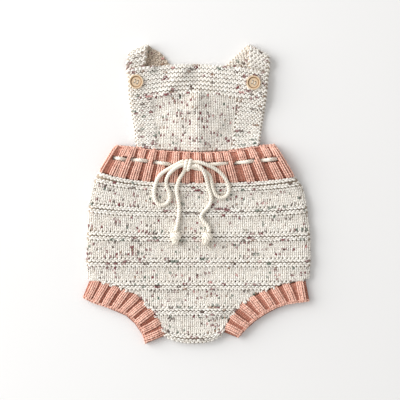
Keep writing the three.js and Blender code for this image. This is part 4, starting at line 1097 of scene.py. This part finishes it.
class RomperYarn(bpy.types.PropertyGroup):
    """Sizes of the knitting."""

    body_stitch: length_property("Body stitch", "Width of one stitch of the body", 0.0043)
    body_row: length_property("Body row", "Height of one plain row of the body", 0.00275)
    bib_stitch: length_property("Bib stitch", "Width of one stitch of the bib", 0.004)
    rib_stitch: length_property("Rib stitch", "Width of one stitch of the ribs", 0.0041)
    cord_diameter: length_property("Drawstring", "Diameter of the drawstring", 0.0042)
    flecks: bpy.props.FloatProperty(
        name="Flecks", description="Share of stitches with one", default=0.082, min=0, max=1, subtype="FACTOR"
    )


class RomperColours(bpy.types.PropertyGroup):
    """Colours of the yarns, buttons and floor."""

    cream: colour_property("Body yarn", "Cream tweed yarn", 251, 247, 241)
    coral: colour_property("Rib yarn", "Coral yarn", 243, 189, 171)
    drawstring: colour_property("Drawstring", "Cream cotton", 250, 246, 239)
    button: colour_property("Buttons", "Pale wood", 235, 212, 182)
    floor: colour_property("Floor", "White floor", 246, 246, 246)


class RomperStage(bpy.types.PropertyGroup):
    """The camera's frame and the light."""

    view_width: length_property("View width", "Width of floor that the camera sees", 0.444)
    camera_height: length_property("Camera height", "Height of the camera over the floor", 1.4)
    window_power: bpy.props.FloatProperty(
        name="Window light", description="Power of the soft light from the left", default=138.0, unit="POWER"
    )
    room_light: bpy.props.FloatProperty(
        name="Room light", description="Strength of the light from all round", default=0.55, min=0
    )


# Stage, in metres
CAMERA_OVER = (0.00333, -0.00694)
WINDOW_AT = Vector((-2.45, 0.78, 0.98))
WINDOW_AIM = Vector((0.1, -0.05, 0))
WINDOW_SIZE = (3.1, 2.7)
ROOM_COLOUR = (1.0, 0.985, 0.965, 1)
FLOOR_SIZE = 8


class ROMPER_OT_stage(bpy.types.Operator):
    """Set up the camera over the garment, the window light, the room's light and the floor"""

    bl_idname = "romper.stage"
    bl_label = "Camera, light and floor"

    def execute(self, context):
        scene, stage = context.scene, context.scene.romper_stage
        camera = bpy.data.objects.new("camera", bpy.data.cameras.new("camera"))
        scene.collection.objects.link(camera)
        camera.location = (*CAMERA_OVER, stage.camera_height)
        camera.data.sensor_width = 36
        camera.data.lens = 36 * stage.camera_height / stage.view_width
        camera.data.clip_end = 20
        scene.camera = camera

        window = bpy.data.objects.new("window", bpy.data.lights.new("window", "AREA"))
        scene.collection.objects.link(window)
        window.data.shape = "RECTANGLE"
        window.data.size, window.data.size_y = WINDOW_SIZE
        window.data.energy = stage.window_power
        window.location = WINDOW_AT
        window.rotation_euler = (WINDOW_AIM - WINDOW_AT).to_track_quat("-Z", "Y").to_euler()

        world = bpy.data.worlds.new("room")
        world.use_nodes = True
        background = world.node_tree.nodes["Background"]
        background.inputs["Color"].default_value = ROOM_COLOUR
        background.inputs["Strength"].default_value = stage.room_light
        scene.world = world
        scene.view_settings.view_transform = "Standard"

        bpy.ops.object.select_all(action="DESELECT")
        bpy.ops.mesh.primitive_plane_add(size=FLOOR_SIZE)
        floor = context.object
        floor.name = "floor"
        finish = Finish("white floor", 0.7)
        tone = tuple(scene.romper_colours.floor)
        patches = finish.noise(finish.place(), 12.0)
        finish.colour(finish.blend(tuple(c * 0.99 for c in tone), tone, patches))
        floor.data.materials.append(finish.material)
        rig.stage(floor)
        return {"FINISHED"}


class ROMPER_OT_drawstring(bpy.types.Operator):
    """Twist the drawstring: through the band, the two loops and tails of the bow, and its knots"""

    bl_idname = "romper.drawstring"
    bl_label = "Drawstring and bow"

    def execute(self, context):
        string, diameter = finishes()["string"], context.scene.romper_yarn.cord_diameter
        turns = [np.array(KNOT) + turn for turn in KNOT_TURNS]
        turns = [plied_cord("turn", turn, diameter / MM, string, step=0.5)[0] for turn in turns]
        knot = settle(joined("bow_knot_tied", turns), "drawstring", "bow_knot")
        waist_nodes = ["drawstring_front_left", "drawstring_back", "drawstring_front_right"]
        waist, line = plied_cord("drawstring_waist", WAIST_ROUTE, diameter / MM, string)
        settle(waist, "drawstring", *waist_nodes)
        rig.cord(
            waist, exit=line[0], length=line_length(line), diameter=diameter, far_end="object",
            stiffness="limp", lay="taut", path=line, with_pieces=[knot],
        )
        for name, route in (("bow_loop_left", LOOP_LEFT), ("bow_loop_right", LOOP_RIGHT)):
            loop, line = plied_cord(name + "_cord", route, diameter / MM, string)
            settle(loop, "drawstring", name)
            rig.cord(
                loop, exit=line[0], length=line_length(line), diameter=diameter, far_end="object",
                stiffness="limp", lay="loose", path=line,
            )
        for side, route in (("left", TAIL_LEFT), ("right", TAIL_RIGHT)):
            tail, line = plied_cord("bow_tail_" + side + "_cord", route, diameter / MM, string)
            settle(tail, "drawstring", "bow_tail_" + side)
            end = self.end_knot("end_knot_" + side + "_tied", side, string)
            settle(end, "drawstring", "end_knot_" + side)
            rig.cord(
                tail, exit=line[0], length=line_length(line), diameter=diameter, far_end="knot",
                stiffness="limp", lay="loose", path=line, with_pieces=[end],
            )
        return {"FINISHED"}

    def end_knot(self, name, side, string):
        """An overhand knot round the tail's end, and its brush of cut yarn."""
        at = np.array(END_KNOTS[side]["at"], float)
        ahead = unit(np.array([*END_KNOTS[side]["towards"], 0.0]))
        across = np.array([-ahead[1], ahead[0], 0.0])
        up = np.array([0.0, 0.0, 1.0])
        turn = np.linspace(0, COIL_TURNS * 2 * math.pi, COIL_POINTS)[:, None]
        run = np.linspace(*COIL_RUN, COIL_POINTS)[:, None]
        radius = COIL_RADIUS * np.sin(np.clip((run - 0.4) / 7.2, 0, 1) * math.pi) ** 0.35
        coil = at + ahead * run + across * np.cos(turn) * radius * 1.3 + up * np.sin(turn) * radius * 0.82
        core = [at + ahead * reach - up * 0.1 * reach for reach in CORE_RUN]
        pieces = [
            plied_cord("coil", coil, COIL_CORD, string, step=0.5)[0],
            plied_cord("core", core, CORE_CORD, string, taper=0.45)[0],
        ]
        brush = Yarn("brush_" + side)
        spread = brush.random.normal(0, 1, (BRUSH_HAIRS, 2)).clip(-1.7, 1.7)
        aside, high = across * spread[:, :1], up * spread[:, 1:]
        root = at + ahead * 6 + aside * 2.3 + high * 1.3
        length = brush.random.uniform(*BRUSH_LENGTHS, BRUSH_HAIRS)[:, None]
        path = []
        for share in (0, 0.2, 0.45, 0.75, 1.0):
            drift = -(aside * 0.9 + high * 0.7) * share**0.8 - up * 0.7 * share
            path.append(root + ahead * length * share + drift)
        paths = np.stack(path, axis=1) + brush.random.normal(0, 0.14, (BRUSH_HAIRS, 5, 3))
        brush.add(paths, BRUSH_RADII, up)
        pieces.append(brush.make(string))
        if side == "right":
            pieces.append(plied_cord("loose end", LOOSE_END, 1.8, string, step=0.5, taper=0.3)[0])
        return joined(name, pieces)


class ROMPER_OT_body(bpy.types.Operator):
    """Knit the front and the back of the body: garter stripes and plain rows over a thin backing"""

    bl_idname = "romper.body"
    bl_label = "Body"

    def execute(self, context):
        sizes, made = context.scene.romper_yarn, finishes()
        for face, node, sides in (("front", "front_panel", 6), ("back", "back_panel", 5)):
            cloth = backing(face + "_cloth", node, made["tweed_back"], "tweed_knit")
            plain, garter = (Yarn(face + end, sizes.flecks) for end in ("_plain_rows", "_garter_stripes"))
            self.knit(plain, garter, Wall(node, below=face == "back"), sizes, sides)
            rows, ridges = (settle(yarn.make(made["tweed"]), "tweed_knit") for yarn in (plain, garter))
            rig.sheet(
                cloth, flat=(0.25, 0.18), area=0.0345, held="laid",
                rests_on=["back_panel"] if face == "front" else [], with_pieces=[rows, ridges],
            )
        return {"FINISHED"}

    def knit(self, plain, garter, wall, sizes, sides):
        """All rows of one wall of the body."""
        width = sizes.body_stitch / MM
        columns = int(round(BODY_WIDTH / width))
        shares = (np.arange(columns) + 0.5) / columns
        for centre in STRIPES:
            for step in (0.5, -0.5):
                places = stitch_places(body_place, shares, np.full(columns, centre + step * RIDGE_PITCH))
                garter_ridge(garter, wall, places, width, BODY_GARTER, sides, STRIPE_LIFT)
        for above, below in zip(STRIPES, STRIPES[1:]):
            start, end = above - RIDGE_PITCH, below + RIDGE_PITCH
            rows = spans(start, end, sizes.body_row / MM)
            level, share = grid(rows, shares)
            x, y, *ways = stitch_places(body_place, share, level)
            x = x + plain.random.normal(0, 0.16, x.size)
            y = y + plain.random.normal(0, 0.14, y.size)
            fall = np.clip((start - level) / (start - end), 0, 1)
            lift = STRIPE_LIFT - PLAIN_SINK * np.sin(math.pi * fall**SINK_POWER)
            height = (start - end) / len(rows)
            knit_stitches(plain, wall, (x, y, *ways), width, height, sides=sides, lift=lift)


class ROMPER_OT_band(bpy.types.Operator):
    """Knit the ribbed band, front and back"""

    bl_idname = "romper.band"
    bl_label = "Ribbed band"

    def execute(self, context):
        width = context.scene.romper_yarn.rib_stitch / MM
        made = finishes()
        for face, below in (("front", False), ("back", True)):
            node = "waistband_" + face
            cloth = backing("band_" + face + "_cloth", node, made["coral_back"], "coral_knit")
            yarn = Yarn("band_" + face + "_ribs")
            self.knit(yarn, Wall(node, below=below), width)
            stitches = settle(yarn.make(made["coral"]), "coral_knit")
            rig.sheet(
                cloth, flat=(0.2, 0.042), held="laid", rests_on=["waistband_back"] if not below else [],
                with_pieces=[stitches],
            )
        return {"FINISHED"}

    def knit(self, yarn, wall, width):
        rows, gap_rows = spans(0.05, 0.995, ROW / BAND_DEPTH), spans(0.03, 0.97, VALLEY_ROW / BAND_DEPTH)

        def column(x, levels):
            return stitch_places(band_place, np.full(len(levels), band_share(x)), levels, up=-1)

        for centre, following in zip(BAND_RIBS, BAND_RIBS[1:] + [None]):
            for side in (-0.5, 0.5):
                rib_column(yarn, wall, column(centre + side * width, rows), width)
            if following is not None:
                gap = following - centre - 2 * width
                for x in spans(centre + width, following - width, VALLEY_PITCH if gap > 2 else ONE_COLUMN):
                    rib_valley(yarn, wall, column(x, gap_rows), min(gap, BAND_VALLEY_WIDTH))
        share = (np.arange(BAND_EDGE_STITCHES) + 0.5) / BAND_EDGE_STITCHES
        rim = stitch_places(band_place, share, np.full(len(share), 0.02), up=-1)
        chain_edge(yarn, wall, rim, BAND_EDGE_PITCH)


class ROMPER_OT_cuffs(bpy.types.Operator):
    """Knit the ribbed leg cuffs with their cast-off edges"""

    bl_idname = "romper.cuffs"
    bl_label = "Leg cuffs"

    def execute(self, context):
        sizes, made = context.scene.romper_yarn, finishes()
        for side in ("left", "right"):
            cuff = Cuff(side)
            for face, below in (("front", False), ("back", True)):
                node = "cuff_" + face + "_" + side
                cloth = backing(node + "_cloth", node, made["coral_back"], "coral_knit")
                wall = Wall(node, below=below)
                ribs, seam = Yarn(node + "_ribs"), Yarn(node + "_seam", sizes.flecks)
                self.knit_ribs(ribs, wall, cuff, sizes.rib_stitch / MM)
                self.knit_seam(seam, wall, cuff)
                stitches = settle(ribs.make(made["coral"]), "coral_knit")
                tips = settle(seam.make(made["tweed"]), "tweed_knit")
                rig.sheet(cloth, flat=(0.11, 0.025), held="laid", with_pieces=[stitches, tips])
        return {"FINISHED"}

    def knit_ribs(self, yarn, wall, cuff, width):
        rows, gap_rows = (spans(0.01, 0.93, pitch / CUFF_DEPTH) for pitch in (ROW, VALLEY_ROW))
        length, ribs = cuff.length, cuff.ribs
        gap = length / ribs - 2 * width

        def column(middle, levels, phase, sway=RIB_SWAY):
            return cuff.stitches(middle + sway / length * np.sin(3.5 * levels + phase), levels)

        for k in range(ribs):
            centre = (k + 0.5 + yarn.random.uniform(-0.05, 0.05)) / ribs
            phase = yarn.random.uniform(0, 2 * math.pi)
            for step in (-0.5, 0.5):
                rib_column(yarn, wall, column(centre + step * width / length, rows, phase), width)
            if k + 1 == ribs:
                continue
            for step in spans(width, width + gap, VALLEY_PITCH if gap > 5 else ONE_COLUMN):
                places = column(centre + step / length, gap_rows, phase)
                rib_valley(yarn, wall, places, min(gap, CUFF_VALLEY_WIDTH))
        for end in (1 / length, 1 - 1 / length):
            rib_valley(yarn, wall, column(end, gap_rows, 0, sway=0), CUFF_END_WIDTH)
        count = int(length / CUFF_EDGE_PITCH)
        edge = stitch_places(cuff.place, (np.arange(count) + 0.5) / count, np.full(count, 0.965))
        chain_edge(yarn, wall, edge, CUFF_EDGE_PITCH * line_length(cuff.edge) / length)

    def knit_seam(self, yarn, wall, cuff):
        """The body's last stitches, whose tips reach over the first coral row."""
        count = int(cuff.length / SEAM_STITCH)
        share = (np.arange(count) + 0.5 + yarn.random.uniform(-0.12, 0.12, count)) / count
        level = yarn.random.uniform(0.0, 0.06, count)
        knit_stitches(yarn, wall, cuff.stitches(share, level), SEAM_STITCH, SEAM_ROW, lift=0.8)


class ROMPER_OT_straps(bpy.types.Operator):
    """Knit the two garter straps, which fold over behind the bib's corners"""

    bl_idname = "romper.straps"
    bl_label = "Straps"

    def execute(self, context):
        made = finishes()
        for side in ("left", "right"):
            strap = Strap(side)
            cloth = backing("strap_" + side + "_cloth", "strap_" + side, made["bib_back"], "tweed_knit", 0.35)
            pieces = []
            # The inside face of each strap takes its finish with painted shade
            faces = ((1, "_garter", "tweed"), (-1, "_garter_inside", "tweed_inside_" + side))
            for face, end, finish in faces:
                yarn = Yarn("strap_" + side + end, context.scene.romper_yarn.flecks)
                self.knit(yarn, strap, face)
                pieces.append(settle(yarn.make(made[finish]), "tweed_knit"))
            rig.sheet(cloth, flat=(strap.width * MM, strap.length * MM), held="folded", with_pieces=pieces)
        return {"FINISHED"}

    def knit(self, yarn, strap, face):
        """Garter ridges on one face of a strap, laid out from its fold."""
        stitch = 2 * STRAP_STITCH / strap.width
        columns = np.linspace(-1, 1, 6 if strap.width > 22 else 5) * (1 - stitch / 2)
        crest = strap.fold - 1.2 + STRAP_PITCH * (np.arange(-40, 80) + 0.5)
        crest = crest[(crest > 1) & (crest < strap.length - 1)]
        for arch, shift in ((1, 0.0), (-1, 0.5)):
            middle_s, middle_t = grid(crest, columns)
            middle_t = middle_t + shift * stitch
            inside = middle_t < 0.97
            s = EVEN_GARTER["reach"] * (0.5 - BUMP**2) + EVEN_GARTER["opening"]
            s = middle_s[inside, None] + arch * s
            across = np.clip(middle_t[inside, None] + BUMP * 0.53 * stitch, -1.02, 1.02)
            out = face * (STRAP_CLOTH / 2 + 0.3 + STRAP_YARN_RADIUS * (0.3 - 0.9 * BUMP**2))
            out = np.broadcast_to(out, s.shape)
            paths = strap.place(s, across, out)
            further = strap.place(s[:, 2:3], across[:, 2:3], out[:, 2:3] + face)
            up = unit(further[:, 0] - paths[:, 2])
            # Tone 0.6 paints the strap's garter bumps a little lighter: painted light
            yarn.add(paths, STRAP_YARN_RADIUS * np.array([0.8, 1.0, 1.0, 0.8]), up, tone=0.6)


class ROMPER_OT_bib(bpy.types.Operator):
    """Knit the bib: a garter frame round a plain panel"""

    bl_idname = "romper.bib"
    bl_label = "Bib"

    def execute(self, context):
        sizes, made = context.scene.romper_yarn, finishes()
        cloth = backing("bib_cloth", "bib", made["bib_back"], "tweed_knit")
        pieces = []
        for name, below, sides in (("bib_stitches", False, 6), ("bib_stitches_behind", True, 5)):
            yarn = Yarn(name, sizes.flecks * 1.2)
            self.knit(yarn, Wall("bib", below=below), sizes.bib_stitch / MM, sides)
            pieces.append(settle(yarn.make(made["tweed"]), "tweed_knit"))
        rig.sheet(
            cloth, flat=(0.155, 0.09), area=0.0132, held="laid",
            rests_on=["strap_left", "strap_right", "waistband_front"], with_pieces=pieces,
        )
        return {"FINISHED"}

    def knit(self, yarn, wall, width, sides):
        left, right, top = BIB_PANEL["left"], BIB_PANEL["right"], BIB_PANEL["top"]
        columns = (np.arange(BIB_COLUMNS) + 0.5) / BIB_COLUMNS
        rows = spans(0.005, top, ROW / BIB_HEIGHT)
        level, share = grid(rows, columns[(columns > left) & (columns < right)])
        height = top * BIB_HEIGHT / len(rows)
        knit_stitches(yarn, wall, stitch_places(bib_place, share, level), width, height, sides=sides)
        chain_edge(yarn, wall, stitch_places(bib_place, columns, np.full(BIB_COLUMNS, 0.992)), width)
        for k in range(BIB_RIDGES):
            up = (2 * k + 1) / (2 * BIB_RIDGES)
            share = columns if up > top else columns[(columns < left) | (columns > right)]
            places = stitch_places(bib_place, share, np.full(len(share), up))
            garter_ridge(yarn, wall, places, width, EVEN_GARTER, sides, lift=0.5)


class ROMPER_OT_buttons(bpy.types.Operator):
    """Turn the wooden buttons, with a rim, a dish and four holes, and sew them on"""

    bl_idname = "romper.buttons"
    bl_label = "Buttons"

    def execute(self, context):
        made = finishes()
        for side, (x, y) in BUTTON_PLACES.items():
            low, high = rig.box("button_" + side)
            button = self.turned("button_" + side + "_wood", x * MM, y * MM, low.z, high.z - low.z, made)
            at = (x, y, low.z / MM + THREAD_HEIGHT)
            thread = self.thread("button_" + side + "_thread", *at, made["string"])
            settle(button, "button_wood", "button_" + side)
            settle(thread, "drawstring")
        return {"FINISHED"}

    def turned(self, name, x, y, z, height, made):
        bpy.ops.object.select_all(action="DESELECT")
        bpy.ops.mesh.primitive_cylinder_add(
            vertices=64, radius=BUTTON_RADIUS * MM, depth=height, location=(x, y, z + height / 2)
        )
        button = bpy.context.object
        button.name = name
        bpy.ops.object.transform_apply(location=True)
        bpy.ops.object.mode_set(mode="EDIT")
        shape = bmesh.from_edit_mesh(button.data)
        for face in shape.faces:
            face.select_set(face.normal.z > 0.9)
        bmesh.update_edit_mesh(button.data)
        for inset, up in BUTTON_INSETS:
            bpy.ops.mesh.inset(thickness=inset * MM)
            bpy.ops.transform.translate(value=(0, 0, up * MM))
        bpy.ops.object.mode_set(mode="OBJECT")
        bevel = button.modifiers.new("edges", "BEVEL")
        bevel.width = BUTTON_EDGE * MM
        bevel.segments = 4
        bevel.limit_method = "ANGLE"
        bevel.angle_limit = math.radians(35)
        bpy.ops.object.modifier_apply(modifier="edges")
        for along, up in BUTTON_HOLES:
            place = (x + along * MM, y + up * MM, z + height / 2)
            bpy.ops.mesh.primitive_cylinder_add(
                vertices=20, radius=HOLE_RADIUS * MM, depth=4 * height, location=place
            )
            drill = bpy.context.object
            bpy.context.view_layer.objects.active = button
            hole = button.modifiers.new("hole", "BOOLEAN")
            hole.operation = "DIFFERENCE"
            hole.object = drill
            bpy.ops.object.modifier_apply(modifier="hole")
            bpy.data.objects.remove(drill)
        bpy.ops.object.select_all(action="DESELECT")
        button.select_set(True)
        bpy.context.view_layer.objects.active = button
        bpy.ops.object.shade_smooth_by_angle(angle=math.radians(35))
        button.data.materials.clear()
        for finish in ("wood", "groove", "hole"):
            button.data.materials.append(made[finish])
        for face in button.data.polygons:
            out = Vector((face.center.x - x, face.center.y - y)) / MM
            drilled = any((out - Vector(hole)).length < HOLE_RADIUS + 0.1 for hole in BUTTON_HOLES)
            in_dish = z + 0.4 * height < face.center.z < z + height - 0.25 * MM
            # Hole walls take the painted shade
            if abs(face.normal.z) < 0.5 and drilled:
                face.material_index = 2
            # The ring inside the rim takes the painted shade of the rim
            elif BUTTON_PAINTED_SHADE_RING[0] < out.length < BUTTON_PAINTED_SHADE_RING[1] and in_dish:
                face.material_index = 1
        return button

    def thread(self, name, x, y, z, string):
        """Two stitches of doubled thread, each from one hole to the next."""
        turns = []
        for start, end in (BUTTON_HOLES[:2], BUTTON_HOLES[2:]):
            run = np.array(end) - np.array(start)
            aside = np.array([-run[1], run[0]]) / np.hypot(*run)
            for shift in (-0.3, 0.3):
                wrap = []
                for share, off, height in THREAD_BOW:
                    at = np.array(start) + run * share + aside * shift * off
                    wrap.append((x + at[0], y + at[1], z + height))
                turn = plied_cord("turn", wrap, THREAD_DIAMETER, string, plies=2, lay=1.6, step=0.2)[0]
                turns.append(turn)
        return joined(name, turns)


OPERATORS = (
    ROMPER_OT_stage,
    ROMPER_OT_drawstring,
    ROMPER_OT_body,
    ROMPER_OT_band,
    ROMPER_OT_cuffs,
    ROMPER_OT_straps,
    ROMPER_OT_bib,
    ROMPER_OT_buttons,
)


class ROMPER_PT_pieces(bpy.types.Panel):
    """Sizes, colours and the pieces, in the order in which they are made"""

    bl_label = "Knitted romper"
    bl_idname = "ROMPER_PT_pieces"
    bl_space_type = "VIEW_3D"
    bl_region_type = "UI"
    bl_category = "Romper"

    def draw(self, context):
        scene = context.scene
        for group in (scene.romper_yarn, scene.romper_colours, scene.romper_stage):
            box = self.layout.box()
            for key in group.bl_rna.properties.keys():
                if key not in ("rna_type", "name"):
                    box.prop(group, key)
        for operator in OPERATORS:
            self.layout.operator(operator.bl_idname)


GROUPS = {"romper_yarn": RomperYarn, "romper_colours": RomperColours, "romper_stage": RomperStage}
CLASSES = (*GROUPS.values(), *OPERATORS, ROMPER_PT_pieces)


def register():
    for item in CLASSES:
        bpy.utils.register_class(item)
    for name, group in GROUPS.items():
        setattr(bpy.types.Scene, name, bpy.props.PointerProperty(type=group))


def unregister():
    for name in GROUPS:
        delattr(bpy.types.Scene, name)
    for item in reversed(CLASSES):
        bpy.utils.unregister_class(item)


def main():
    register()
    bpy.ops.romper.stage()
    bpy.ops.romper.drawstring()
    bpy.ops.romper.body()
    bpy.ops.romper.band()
    bpy.ops.romper.cuffs()
    bpy.ops.romper.straps()
    bpy.ops.romper.bib()
    bpy.ops.romper.buttons()
    with open("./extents.json", "w") as sizes:
        json.dump({"cad": CAD_BOX, "visual": [list(corner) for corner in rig.bounds()]}, sizes)


if __name__ == "__main__":
    main()
